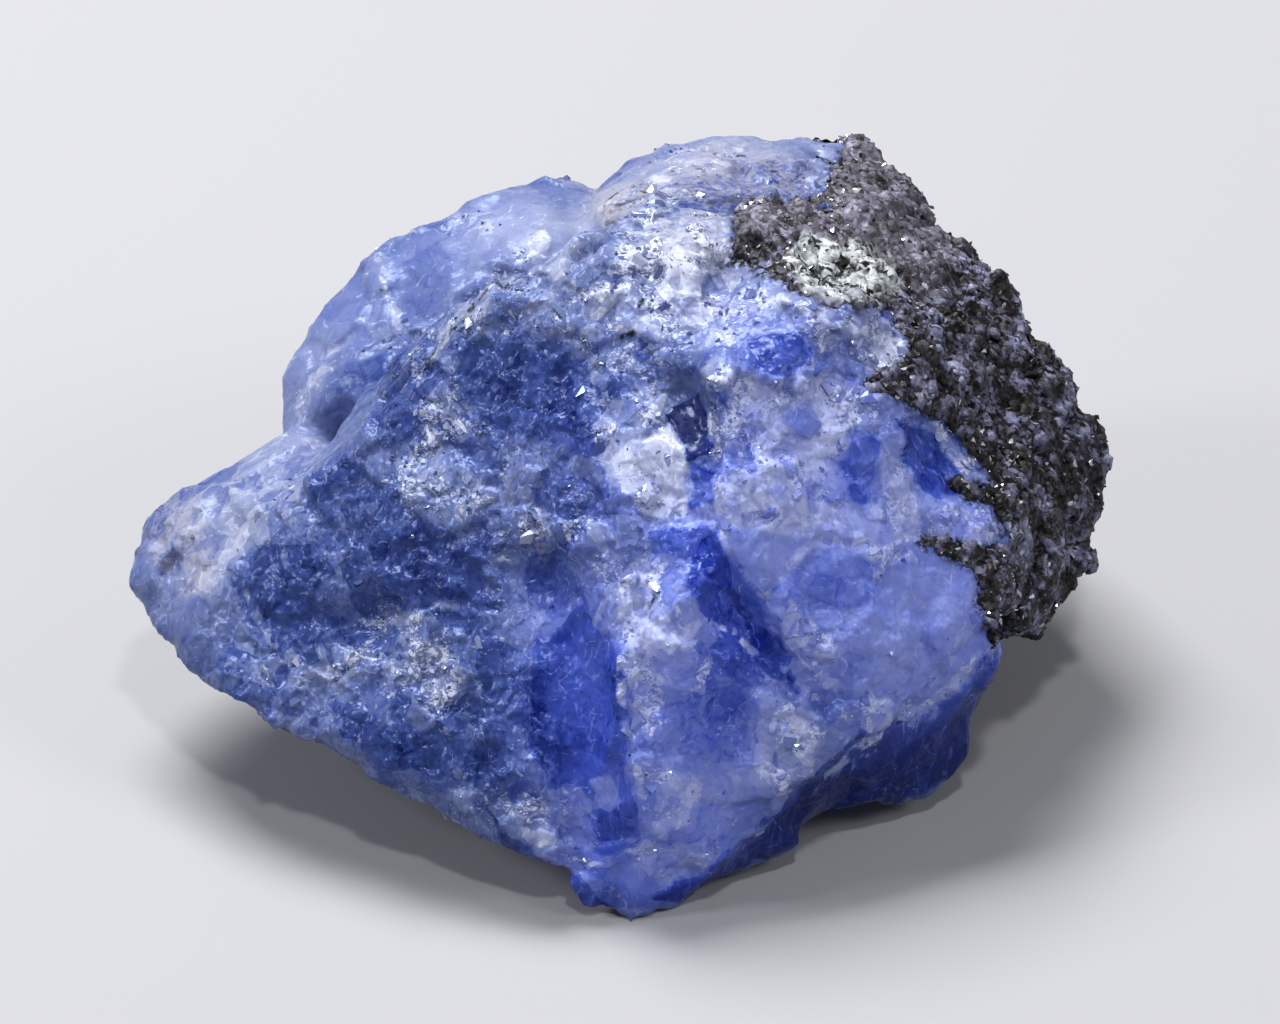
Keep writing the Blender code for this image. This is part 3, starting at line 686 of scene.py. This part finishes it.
def splits_group(kind):
    """Broken crystal: every cell is one flat split, tilted and stepped its own way."""
    tree, given, result = group_of(
        kind,
        "splits",
        [
            ("Place", "NodeSocketVector", None),
            ("Size", "NodeSocketFloat", 1.0),
            ("Step", "NodeSocketFloat", 0.3),
        ],
        [("Height", "NodeSocketFloat"), ("Tone", "NodeSocketFloat")],
    )
    size = given.outputs["Size"]
    side = node(tree, "ShaderNodeCombineXYZ", {0: size, 1: size, 2: size}).outputs[0]
    place = vectors(tree, "DIVIDE", given.outputs["Place"], side)
    cell = node(tree, "ShaderNodeTexVoronoi", {"Vector": place, "Scale": 1.0})
    tilt = vectors(tree, "SUBTRACT", cell.outputs["Color"], (0.5, 0.5, 0.5))
    slope = vectors(tree, "DOT_PRODUCT", vectors(tree, "SUBTRACT", place, cell.outputs["Position"]), tilt)
    tone = node(tree, "ShaderNodeSeparateXYZ", {0: cell.outputs["Color"]}).outputs[0]
    height = total(tree, slope, (maths(tree, "SUBTRACT", tone, 0.5), given.outputs["Step"]))
    plug(tree, result.inputs["Height"], height)
    plug(tree, result.inputs["Tone"], tone)
    return tree


def run(obj, tree, name, **inputs):
    """Runs a Geometry Nodes tree on an object and returns the result as a plain mesh object."""
    modifier = obj.modifiers.new(name, "NODES")
    modifier.node_group = tree
    sockets = {s.name: s.identifier for s in tree.interface.items_tree if s.in_out == "INPUT"}
    for label, value in inputs.items():
        modifier[sockets[label.replace("_", " ")]] = value
    return settled(obj, name)


GEOMETRY = [("Geometry", "NodeSocketGeometry", None)]


def field(tree, name):
    """A number that the surface keeps at each vertex, in a Geometry Nodes tree."""
    return node(tree, "GeometryNodeInputNamedAttribute", {"Name": name}, data_type="FLOAT").outputs[0]


def store(tree, geometry, name, value, kind="FLOAT"):
    values = {"Geometry": geometry, "Name": name, "Value": value}
    return node(tree, "GeometryNodeStoreNamedAttribute", values, data_type=kind).outputs[0]


def layer_shift(i):
    """Keeps the splits of one layer apart from those of the next."""
    return (7.3 * i, 3.1 * i, 5.7 * i)


def relief_tree(name, splits, layers):
    """Pushes the surface out and in by layers of splits, which are given as BREAKS is.

    The places before the push stay on the surface, so that its material breaks along the same splits.
    """
    inputs = list(GEOMETRY)
    for label, size, height, _, _ in layers:
        inputs.append((label + " Size", "NodeSocketFloat", size))
        inputs.append((label + " Height", "NodeSocketFloat", height))
    tree, given, result = group_of("GeometryNodeTree", name, inputs, [("Geometry", "NodeSocketGeometry")])
    position = node(tree, "GeometryNodeInputPosition").outputs[0]
    place = vectors(tree, "MULTIPLY", position, (1 / MM, 1 / MM, 1 / MM))
    wobble = node(tree, "ShaderNodeTexNoise", {"Vector": place, "Scale": 1.3, "Detail": 2.0})
    wobble = vectors(tree, "SUBTRACT", wobble.outputs["Color"], (0.5, 0.5, 0.5))
    bent = vectors(tree, "ADD", place, scaled(tree, wobble, 0.5))
    geometry = store(tree, given.outputs["Geometry"], "unbroken place", bent, "FLOAT_VECTOR")
    push = 0.0
    for i, (label, _, _, share, rounds) in enumerate(layers):
        shifted = vectors(tree, "ADD", bent, layer_shift(i))
        used = uses(tree, splits, {"Place": shifted, "Size": given.outputs[label + " Size"]})
        high = maths(tree, "MULTIPLY", used.outputs["Height"], given.outputs[label + " Height"])
        if rounds:
            high = node(tree, "GeometryNodeBlurAttribute", {"Value": high, "Iterations": rounds}).outputs[0]
        push = total(tree, push, (high, field(tree, share)))
    normal = node(tree, "GeometryNodeInputNormal").outputs[0]
    offset = scaled(tree, normal, maths(tree, "MULTIPLY", push, MM))
    moved = node(tree, "GeometryNodeSetPosition", {"Geometry": geometry, "Offset": offset})
    plug(tree, result.inputs["Geometry"], moved.outputs[0])
    return tree


def grain_shape(name, seed, corners, flatness):
    """A small angular piece with flat faces, one across before it is scaled."""
    rng = np.random.default_rng(seed)
    bm = bmesh.new()
    for corner in rng.normal(size=(corners, 3)):
        corner = corner / np.linalg.norm(corner) * rng.uniform(0.38, 0.55)
        bm.verts.new((corner[0], corner[1], corner[2] * flatness))
    made = bmesh.ops.convex_hull(bm, input=bm.verts)
    left_inside = {v for v in made["geom_interior"] if isinstance(v, bmesh.types.BMVert)}
    bmesh.ops.delete(bm, geom=list(left_inside), context="VERTS")
    bmesh.ops.recalc_face_normals(bm, faces=bm.faces)
    mesh = bpy.data.meshes.new(name)
    bm.to_mesh(mesh)
    bm.free()
    return bpy.data.objects.new(name, mesh)


def grain_shapes(name, corners, flatness, count=6):
    """A handful of shapes to pick from."""
    heap = bpy.data.collections.new(name)
    for i in range(count):
        heap.objects.link(grain_shape(f"{name}_{i}", 11 + i, corners, flatness))
    return heap


def random_value(tree, kind, inputs):
    made = node(tree, "FunctionNodeRandomValue", inputs, data_type=kind)
    return [s for s in made.outputs if s.enabled][0]


def scatter_tree(name, heap, material, where, lying):
    """Grains bedded in a surface, as many at each place as one of its marks asks for.

    Density is the number on a square metre, and the sizes and the lift are in metres.
    """
    inputs = GEOMETRY + [
        ("Density", "NodeSocketFloat", 1.0),
        ("Smallest", "NodeSocketFloat", 0.1),
        ("Largest", "NodeSocketFloat", 0.3),
        ("Lift", "NodeSocketFloat", 0.0),
        ("Seed", "NodeSocketInt", 0),
    ]
    tree, given, result = group_of("GeometryNodeTree", name, inputs, [("Geometry", "NodeSocketGeometry")])
    density = maths(tree, "MULTIPLY", field(tree, where), given.outputs["Density"])
    points = node(
        tree,
        "GeometryNodeDistributePointsOnFaces",
        {"Mesh": given.outputs["Geometry"], "Density": density, "Seed": given.outputs["Seed"]},
    )
    spread = {"Min": 0.0, "Max": 1.0, "Seed": 3}
    share = maths(tree, "POWER", random_value(tree, "FLOAT", spread), 1.6)
    gap = maths(tree, "SUBTRACT", given.outputs["Largest"], given.outputs["Smallest"])
    size = total(tree, given.outputs["Smallest"], (share, gap))
    turns = {0: (-lying, -lying, 0), 1: (lying, lying, math.tau), "Seed": 5}
    turn = random_value(tree, "FLOAT_VECTOR", turns)
    toned = store(tree, points.outputs["Points"], "tone", random_value(tree, "FLOAT", {"Seed": 9}))
    lifted = scaled(tree, points.outputs["Normal"], given.outputs["Lift"])
    raised = node(tree, "GeometryNodeSetPosition", {"Geometry": toned, "Offset": lifted})
    shapes = node(
        tree,
        "GeometryNodeCollectionInfo",
        {"Collection": heap, "Separate Children": True, "Reset Children": True},
    )
    turned = node(
        tree,
        "FunctionNodeRotateRotation",
        {"Rotation": points.outputs["Rotation"], "Rotate By": turn},
        rotation_space="LOCAL",
    )
    grains = node(
        tree,
        "GeometryNodeInstanceOnPoints",
        {
            "Points": raised.outputs[0],
            "Instance": shapes.outputs[0],
            "Pick Instance": True,
            "Rotation": turned.outputs[0],
            "Scale": node(tree, "ShaderNodeCombineXYZ", {0: size, 1: size, 2: size}).outputs[0],
        },
    )
    real = node(tree, "GeometryNodeRealizeInstances", {"Geometry": grains.outputs[0]})
    dressed = node(tree, "GeometryNodeSetMaterial", {"Geometry": real.outputs[0], "Material": material})
    plug(tree, result.inputs["Geometry"], dressed.outputs[0])
    return tree


def material_of(name):
    material = bpy.data.materials.new(name)
    material.use_nodes = True
    tree = material.node_tree
    return material, tree, tree.nodes["Principled BSDF"]


def set_values(surface, **values):
    """Sets plain values on a shader's sockets, named with _ for each space."""
    for label, value in values.items():
        surface.inputs[label.replace("_", " ")].default_value = value


def bumped(tree, surface, height, depth, strength):
    """Gives a surface fine relief, with a depth in metres."""
    bump = node(tree, "ShaderNodeBump", {"Height": height, "Distance": depth, "Strength": strength})
    plug(tree, surface.inputs["Normal"], bump.outputs[0])


def noise_in(tree, place, scale, detail, roughness=0.5):
    """Smooth random numbers between 0 and 1."""
    inputs = {"Vector": place, "Scale": scale, "Detail": detail, "Roughness": roughness}
    return node(tree, "ShaderNodeTexNoise", inputs).outputs[0]


def ramp(tree, value, stops):
    """A colour ramp through (place, colour) stops."""
    made = node(tree, "ShaderNodeValToRGB", {0: value})
    elements = made.color_ramp.elements
    elements[0].position, elements[0].color = stops[0][0], (*stops[0][1], 1)
    elements[1].position, elements[1].color = stops[-1][0], (*stops[-1][1], 1)
    for place, colour in stops[1:-1]:
        elements.new(place).color = (*colour, 1)
    return made.outputs[0]


def mixed(tree, share, a, b):
    made = node(tree, "ShaderNodeMix", data_type="RGBA")
    plug(tree, made.inputs[0], share)
    plug(tree, made.inputs[6], a if isinstance(a, bpy.types.NodeSocket) else (*a, 1))
    plug(tree, made.inputs[7], b if isinstance(b, bpy.types.NodeSocket) else (*b, 1))
    return made.outputs[2]


def kept(tree, name, output="Fac"):
    """A mark that the surface keeps, in a material."""
    return node(tree, "ShaderNodeAttribute", attribute_name=name).outputs[output]


def millimetres(tree):
    """Object coordinates in millimetres."""
    coordinates = node(tree, "ShaderNodeTexCoord").outputs["Object"]
    return vectors(tree, "MULTIPLY", coordinates, (1 / MM, 1 / MM, 1 / MM))


def centred(tree, value):
    return maths(tree, "SUBTRACT", value, 0.5)


def cells(tree, share, tone):
    """1 in the splits that a soft-edged mark takes in, each as a whole, and 0 in the others."""
    return step_between(tree, maths(tree, "MULTIPLY_ADD", tone, 0.8, share), 0.84, 0.9)


def colour_group(name, labels):
    """An empty group that turns the numbers with these names into a colour."""
    inputs = [(label, "NodeSocketFloat", 0.0) for label in labels]
    return group_of("ShaderNodeTree", name, inputs, [("Color", "NodeSocketColor")])


def zoisite_colour_group():
    """Blue zoisite from deep and clear to milky, greyish or violet, with a brownish film, and near black for
    dust and for painted shade.
    """
    tree, given, result = colour_group("zoisite_colour", ("Pale", "Violet", "Brownish", "Dust_and_shade"))
    grey_blue = ramp(tree, given.outputs["Pale"], [
        (0.0, (0.004, 0.01, 0.08)), (0.25, (0.032, 0.056, 0.215)),
        (0.5, (0.118, 0.152, 0.325)), (0.75, (0.265, 0.295, 0.44)), (1.0, (0.54, 0.57, 0.71)),
    ])
    violet_blue = ramp(tree, given.outputs["Pale"], [
        (0.0, (0.004, 0.016, 0.24)), (0.25, (0.05, 0.088, 0.48)),
        (0.5, (0.16, 0.21, 0.62)), (0.75, (0.275, 0.32, 0.68)), (1.0, (0.45, 0.5, 0.8)),
    ])
    blue = mixed(tree, given.outputs["Violet"], grey_blue, violet_blue)
    film = mixed(tree, given.outputs["Brownish"], blue, (0.36, 0.33, 0.34))
    plug(tree, result.inputs["Color"], mixed(tree, given.outputs["Dust_and_shade"], film, (0.01, 0.009, 0.01)))
    return tree


def fibres(tree, place, glassy_and_shade):
    """Fine upright fibres in glassy crystal."""
    stretched = vectors(tree, "MULTIPLY", place, (5.0, 5.0, 0.9))
    shown = step_between(tree, noise_in(tree, stretched, 1.0, 2.0), 0.55, 0.75)
    return maths(tree, "MULTIPLY", shown, glassy_and_shade)


def cracks(tree, place, haze):
    """Thin curved cracks, which lie where slow noise passes its middle, and show only in places."""
    wave = noise_in(tree, place, 0.75, 1.0)
    thin = step_between(tree, maths(tree, "ABSOLUTE", centred(tree, wave)), 0.011, 0.0)
    return maths(tree, "MULTIPLY", thin, step_between(tree, haze, 0.48, 0.6))


def bright_chips(tree, tone, spread):
    """Bright chips, which lie thick where the crystal is crushed."""
    thick = maths(tree, "MULTIPLY_ADD", kept(tree, "splinters"), spread, tone)
    return step_between(tree, thick, 1.02, 1.06)


def blue_zoisite(splits, colours):
    """Blue crystal: glassy and dark where it is whole, milky where it is crushed, with painted shade in the
    recess, pocket, hollow and underside, and painted light and shade on the large facets.
    """
    material, tree, surface = material_of("blue_zoisite")
    place = kept(tree, "unbroken place", "Vector")
    crushed, glassy_and_shade, smooth = (kept(tree, name) for name in ("crushed", "glassy_and_shade", "smooth"))
    violet = kept(tree, "violet")
    large, middle, small = (
        uses(tree, splits, {"Place": vectors(tree, "ADD", place, layer_shift(i)), "Size": layer[1]})
        for i, layer in enumerate(BREAKS)
    )
    crumbs = uses(tree, splits, {"Place": place, "Size": CRUMB})
    cloud = noise_in(tree, place, 0.8, 2.0, 0.6)
    haze = noise_in(tree, place, 5.0, 2.0, 0.7)
    shard_place = vectors(tree, "MULTIPLY", place, (3.4, 5.2, 7.0))
    shards = node(tree, "ShaderNodeTexVoronoi", {"Vector": shard_place}).outputs["Color"]
    shard_tone = node(tree, "ShaderNodeSeparateColor", {"Color": shards}).outputs[1]
    varied = total(
        tree,
        0.0,
        (centred(tree, large.outputs["Tone"]), 0.14),
        (centred(tree, middle.outputs["Tone"]), 0.16),
        (centred(tree, small.outputs["Tone"]), 0.13),
        (centred(tree, crumbs.outputs["Tone"]), 0.1),
        (centred(tree, cloud), 0.3),
        (centred(tree, haze), 0.15),
    )
    pale = total(
        tree,
        0.345,
        (varied, total(tree, 1.0, (smooth, -0.55), (crushed, 0.5))),
        # the facets' own tones, and painted light and shade on them
        (kept(tree, "facets"), 1.0),
        (kept(tree, "milky"), 0.5),
        (crushed, 0.1),
        (cells(tree, crushed, middle.outputs["Tone"]), 0.06),
        (cells(tree, crushed, small.outputs["Tone"]), 0.1),
        # darker where glassy, and as painted shade in the recess, pocket, hollow, step's band and underside
        (glassy_and_shade, -0.1),
        (cells(tree, glassy_and_shade, middle.outputs["Tone"]), -0.12),
        (cells(tree, glassy_and_shade, small.outputs["Tone"]), -0.12),
        (violet, 0.185),
        (cracks(tree, place, haze), 0.3),
        (fibres(tree, place, glassy_and_shade), 0.2),
        (bright_chips(tree, shard_tone, 0.5), 0.34),
        (bright_chips(tree, crumbs.outputs["Tone"], 0.42), 0.34),
        clamp=True,
    )
    # near black along the schist's border, as dark grains and as painted shade under the crust's raised
    # edge, and on the dark lines
    dust_and_shade = maths(tree, "MAXIMUM", step_between(tree, kept(tree, "schist"), -0.28, 0.0), kept(tree, "dust_and_shade_lines"))
    dust_and_shade = maths(tree, "MULTIPLY", dust_and_shade, step_between(tree, haze, 0.42, 0.55))
    film = maths(tree, "MULTIPLY", kept(tree, "brownish"), step_between(tree, haze, 0.38, 0.6))
    colour = uses(tree, colours, {"Pale": pale, "Violet": violet, "Brownish": film, "Dust_and_shade": dust_and_shade})
    plug(tree, surface.inputs["Base Color"], colour.outputs[0])
    plug(tree, surface.inputs["Roughness"], total(tree, 0.24, (pale, 0.1)))
    grain = total(tree, 0.0, (crumbs.outputs["Height"], 0.06), (small.outputs["Height"], 0.07))
    steps = total(tree, 0.0, (large.outputs["Height"], 0.12), (middle.outputs["Height"], 0.1))
    rough = maths(tree, "MULTIPLY", grain, total(tree, 1.0, (smooth, -0.8)))
    bumped(tree, surface, total(tree, rough, (steps, total(tree, 1.0, (smooth, -0.6)))), MM, 0.8)
    set_values(
        surface,
        IOR=ZOISITE_IOR,
        Specular_IOR_Level=0.16,
        Specular_Tint=BLUE_GLINT,
        Transmission_Weight=0.1,
    )
    return material


def zoisite_splinters(colours):
    """Loose splinters of the crystal, each with a tone of its own."""
    material, tree, surface = material_of("zoisite_splinters")
    pale = total(
        tree,
        0.28,
        (kept(tree, "tone"), 0.4),
        (kept(tree, "crushed"), 0.35),
        (kept(tree, "glassy_and_shade"), -0.3),
        clamp=True,
    )
    marks = {"Pale": pale, "Violet": kept(tree, "violet"), "Brownish": kept(tree, "brownish")}
    plug(tree, surface.inputs["Base Color"], uses(tree, colours, marks).outputs[0])
    set_values(
        surface,
        Roughness=0.1,
        IOR=ZOISITE_IOR,
        Specular_IOR_Level=0.4,
        Specular_Tint=BLUE_GLINT,
        Transmission_Weight=0.25,
    )
    return material


def dark_grains():
    """Black and rusty specks of graphite and iron."""
    material, tree, surface = material_of("dark_grains")
    colour = ramp(tree, kept(tree, "tone"), [
        (0.0, (0.004, 0.004, 0.005)), (0.7, (0.012, 0.01, 0.01)),
        (0.85, (0.1, 0.045, 0.02)), (1.0, (0.3, 0.14, 0.05)),
    ])
    plug(tree, surface.inputs["Base Color"], colour)
    set_values(surface, Roughness=0.45)
    return material


def schist_colour_group():
    """Schist from black and brown to lavender grey, with a pinkish and a pale greenish patch."""
    tree, given, result = colour_group("schist_colour", ("Tone", "Pinkish", "Greenish"))
    dark = ramp(tree, given.outputs["Tone"], [
        (0.0, (0.003, 0.0025, 0.0025)), (0.3, (0.014, 0.011, 0.011)),
        (0.5, (0.066, 0.066, 0.105)), (0.75, (0.19, 0.2, 0.31)), (1.0, (0.48, 0.5, 0.64)),
    ])
    pink = ramp(tree, given.outputs["Tone"], [
        (0.0, (0.024, 0.021, 0.023)), (0.3, (0.07, 0.064, 0.08)),
        (0.6, (0.14, 0.132, 0.18)), (1.0, (0.4, 0.38, 0.48)),
    ])
    green = ramp(tree, given.outputs["Tone"], [
        (0.0, (0.008, 0.008, 0.008)), (0.15, (0.07, 0.075, 0.08)),
        (0.3, (0.3, 0.32, 0.34)), (0.7, (0.5, 0.53, 0.55)), (1.0, (0.75, 0.78, 0.8)),
    ])
    colour = mixed(tree, given.outputs["Pinkish"], dark, pink)
    plug(tree, result.inputs["Color"], mixed(tree, given.outputs["Greenish"], colour, green))
    return tree


def colour_schist(tree, surface, colours, tone):
    """Colours a surface by its tone and by the schist's patches."""
    marks = {"Tone": tone, "Pinkish": kept(tree, "pinkish"), "Greenish": kept(tree, "greenish")}
    plug(tree, surface.inputs["Base Color"], uses(tree, colours, marks).outputs[0])


def graphite_schist(splits, colours):
    """Dark graphite schist."""
    material, tree, surface = material_of("graphite_schist")
    place = kept(tree, "unbroken place", "Vector")
    lumps = uses(tree, splits, {"Place": place, "Size": SCHIST_BREAKS[0][1]})
    crumbs = uses(tree, splits, {"Place": place, "Size": SCHIST_CRUMB})
    tone = total(
        tree,
        0.32,
        (centred(tree, lumps.outputs["Tone"]), 0.3),
        (centred(tree, crumbs.outputs["Tone"]), 0.5),
        (centred(tree, noise_in(tree, place, 1.1, 5.0, 0.65)), 1.8),
        clamp=True,
    )
    colour_schist(tree, surface, colours, tone)
    plug(tree, surface.inputs["Roughness"], total(tree, 0.3, (crumbs.outputs["Tone"], 0.35)))
    bumped(tree, surface, crumbs.outputs["Height"], 0.08 * MM, 1.0)
    set_values(surface, Specular_IOR_Level=0.2)
    return material


def schist_lump_look(colours):
    """Rounded clumps of the schist, each with a tone of its own."""
    material, tree, surface = material_of("schist_lumps")
    place = millimetres(tree)
    grain = noise_in(tree, place, 7.0, 3.0, 0.7)
    tone = total(
        tree,
        0.435,
        (kept(tree, "flaky"), 0.1),
        (centred(tree, kept(tree, "tone")), 0.16),
        (centred(tree, grain), 0.75),
        (centred(tree, noise_in(tree, place, 1.1, 5.0, 0.65)), 2.0),
        clamp=True,
    )
    colour_schist(tree, surface, colours, tone)
    bumped(tree, surface, grain, 0.1 * MM, 0.8)
    set_values(surface, Roughness=0.4, Specular_IOR_Level=0.3)
    return material


def mica():
    """Thin bright flakes, silver and a little bronze."""
    material, tree, surface = material_of("mica_flakes")
    colour = ramp(tree, kept(tree, "tone"), [
        (0.0, (0.03, 0.028, 0.028)), (0.45, (0.12, 0.11, 0.11)),
        (0.75, (0.5, 0.5, 0.54)), (0.9, (0.7, 0.72, 0.78)), (1.0, (0.5, 0.36, 0.24)),
    ])
    plug(tree, surface.inputs["Base Color"], colour)
    set_values(surface, Roughness=0.22, Metallic=0.6)
    return material


def stage():
    """A plain pale floor."""
    bm = bmesh.new()
    bmesh.ops.create_grid(bm, x_segments=1, y_segments=1, size=1.0)
    mesh = bpy.data.meshes.new("floor")
    bm.to_mesh(mesh)
    bm.free()
    floor = placed(mesh, "floor")
    material, tree, surface = material_of("pale_floor")
    set_values(surface, Base_Color=(0.34, 0.34, 0.355, 1), Roughness=0.9)
    mesh.materials.append(material)


def aimed(obj, place, aim):
    obj.location = place
    obj.rotation_mode = "QUATERNION"
    obj.rotation_quaternion = (aim - place).to_track_quat("-Z", "Y")
    bpy.context.scene.collection.objects.link(obj)
    return obj


def softbox(name, place, power, size):
    """A square soft light that looks at the stone, with its place and size in metres."""
    lamp = bpy.data.lights.new(name, "AREA")
    lamp.energy = power
    lamp.size = size
    aimed(bpy.data.objects.new(name, lamp), Vector(place), Vector((0, 0, 0.007)))


def lights():
    softbox("overhead", (-0.06, 0.10, 0.25), 1.25, 0.13)
    softbox("right", (0.20, -0.10, 0.18), 0.2, 0.08)
    softbox("left", (-0.24, -0.06, 0.18), 0.3, 0.06)
    softbox("spark", (0.03, -0.16, 0.32), 0.35, 0.025)
    world = bpy.data.worlds.new("studio")
    world.use_nodes = True
    set_values(world.node_tree.nodes["Background"], Color=(0.40, 0.43, 0.5, 1), Strength=0.35)
    bpy.context.scene.world = world
    bpy.context.scene.view_settings.view_transform = "Standard"


def camera():
    data = bpy.data.cameras.new("camera")
    data.sensor_width = SENSOR
    data.lens = SENSOR * CAMERA_DISTANCE / VIEW_WIDTH
    data.clip_start = 0.01
    aim = (CAMERA_AIM - CENTRE) * MM
    place = aim + Vector(view_way()) * CAMERA_DISTANCE * MM
    bpy.context.scene.camera = aimed(bpy.data.objects.new("camera", data), place, aim)


def copy_of(obj, name):
    return placed(obj.data.copy(), name)


def dress(piece, material):
    piece.data.materials.clear()
    piece.data.materials.append(material)


def stone():
    """The crystal and the crust of schist, as two broken surfaces that pass under each other."""
    body = fine_body()
    subdivide_front(body)
    mark_regions(body.data)
    splits = splits_group("GeometryNodeTree")
    body = run(body, relief_tree("breaks", splits, BREAKS), "broken_body")
    depth = read(body.data.attributes["schist"].data, "value")
    dip = CRYSTAL_DIP * smoothstep(0.08, 0.3, depth)
    crystal = part_of(body, "blue_crystal", depth < CRYSTAL_LAP, -dip)
    dip = SCHIST_DIP * smoothstep(0.05, -0.2, depth)
    crust = part_of(body, "schist_crust", depth > -SCHIST_LAP, SCHIST_RISE - dip)
    bpy.data.objects.remove(body, do_unlink=True)
    return crystal, run(crust, relief_tree("lumpy", splits, SCHIST_BREAKS), "schist_crust")


def halves(crystal):
    """The crystal parted at one place from left to right, because one mesh would be too large."""
    left, right = copy_of(crystal, "blue_crystal_left"), copy_of(crystal, "blue_crystal_right")
    for piece, side in ((left, 1), (right, -1)):
        bm = bmesh.new()
        bm.from_mesh(piece.data)
        edge = (CRYSTAL_SPLIT - CENTRE.x) * MM
        beyond = [f for f in bm.faces if (f.calc_center_median().x > edge) == (side > 0)]
        bmesh.ops.delete(bm, geom=beyond, context="FACES")
        bm.to_mesh(piece.data)
        bm.free()
    bpy.data.objects.remove(crystal, do_unlink=True)
    return left, right


def above_floor(piece):
    """Lifts what dips under the floor up to it."""
    corners = read(piece.data.vertices, "co", 3)
    corners[:, 2] = np.maximum(corners[:, 2], 0)
    piece.data.vertices.foreach_set("co", corners.ravel())


def bedded(surface, name, shapes, look, where, lying, **sizes):
    """A piece of grains bedded in a surface."""
    tree = scatter_tree(name + "_tree", shapes, look, where, lying)
    return run(copy_of(surface, name + "_bed"), tree, name, **sizes)


def crystal_grains(crystal, colours):
    """Splinters, larger shards and dark specks."""
    look, shapes = zoisite_splinters(colours), grain_shapes("splinter", 8, 0.8)
    return (
        bedded(
            crystal, "crystal_splinters", shapes, look, "splinters", math.pi,
            Density=4.0e7, Smallest=0.05 * MM, Largest=0.24 * MM, Lift=-0.01 * MM,
        ),
        bedded(
            crystal, "crystal_shards", grain_shapes("shard", 9, 0.5), look, "splinters", 0.6,
            Density=1.5e7, Smallest=0.18 * MM, Largest=0.75 * MM, Lift=-0.09 * MM, Seed=6,
        ),
        bedded(
            crystal, "dark_specks", shapes, dark_grains(), "specks", math.pi,
            Density=0.55e6, Smallest=0.03 * MM, Largest=0.15 * MM, Seed=4,
        ),
    )


def schist_grains(crust, colours):
    """Rounded clumps, and flakes that lie thickest along the border and on the greenish patch."""
    depth, greenish = (read(crust.data.attributes[name].data, "value") for name in ("schist", "greenish"))
    mark(crust.data, "clumps", smoothstep(-0.05, 0.2, depth) * (1 - 0.92 * greenish))
    border = smoothstep(-0.1, 0.1, depth) * smoothstep(1.2, 0.3, depth)
    mark(crust.data, "flaky", np.maximum(border, greenish) + 0.35)
    lumps = bedded(
        crust, "schist_lumps", grain_shapes("lump", 24, 0.6), schist_lump_look(colours), "clumps", 0.5,
        Density=0.95e7, Smallest=0.16 * MM, Largest=0.6 * MM, Lift=-0.1 * MM,
    )
    lumps.data.shade_smooth()
    flakes = bedded(
        crust, "mica_flakes", grain_shapes("flake", 8, 0.18), mica(), "flaky", 0.9,
        Density=0.8e7, Smallest=0.06 * MM, Largest=0.3 * MM, Lift=0.03 * MM, Seed=2,
    )
    return lumps, flakes


def main():
    splits = splits_group("ShaderNodeTree")
    zoisite_colours, schist_colours = zoisite_colour_group(), schist_colour_group()
    crystal, crust = stone()
    for piece, look in (
        (crystal, blue_zoisite(splits, zoisite_colours)),
        (crust, graphite_schist(splits, schist_colours)),
    ):
        piece.data.shade_smooth()
        dress(piece, look)
    grains = crystal_grains(crystal, zoisite_colours) + schist_grains(crust, schist_colours)
    for piece in (*halves(crystal), crust, *grains):
        above_floor(piece)
        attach(piece, "root")
        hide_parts(STONE)
    stage()
    lights()
    camera()


main()
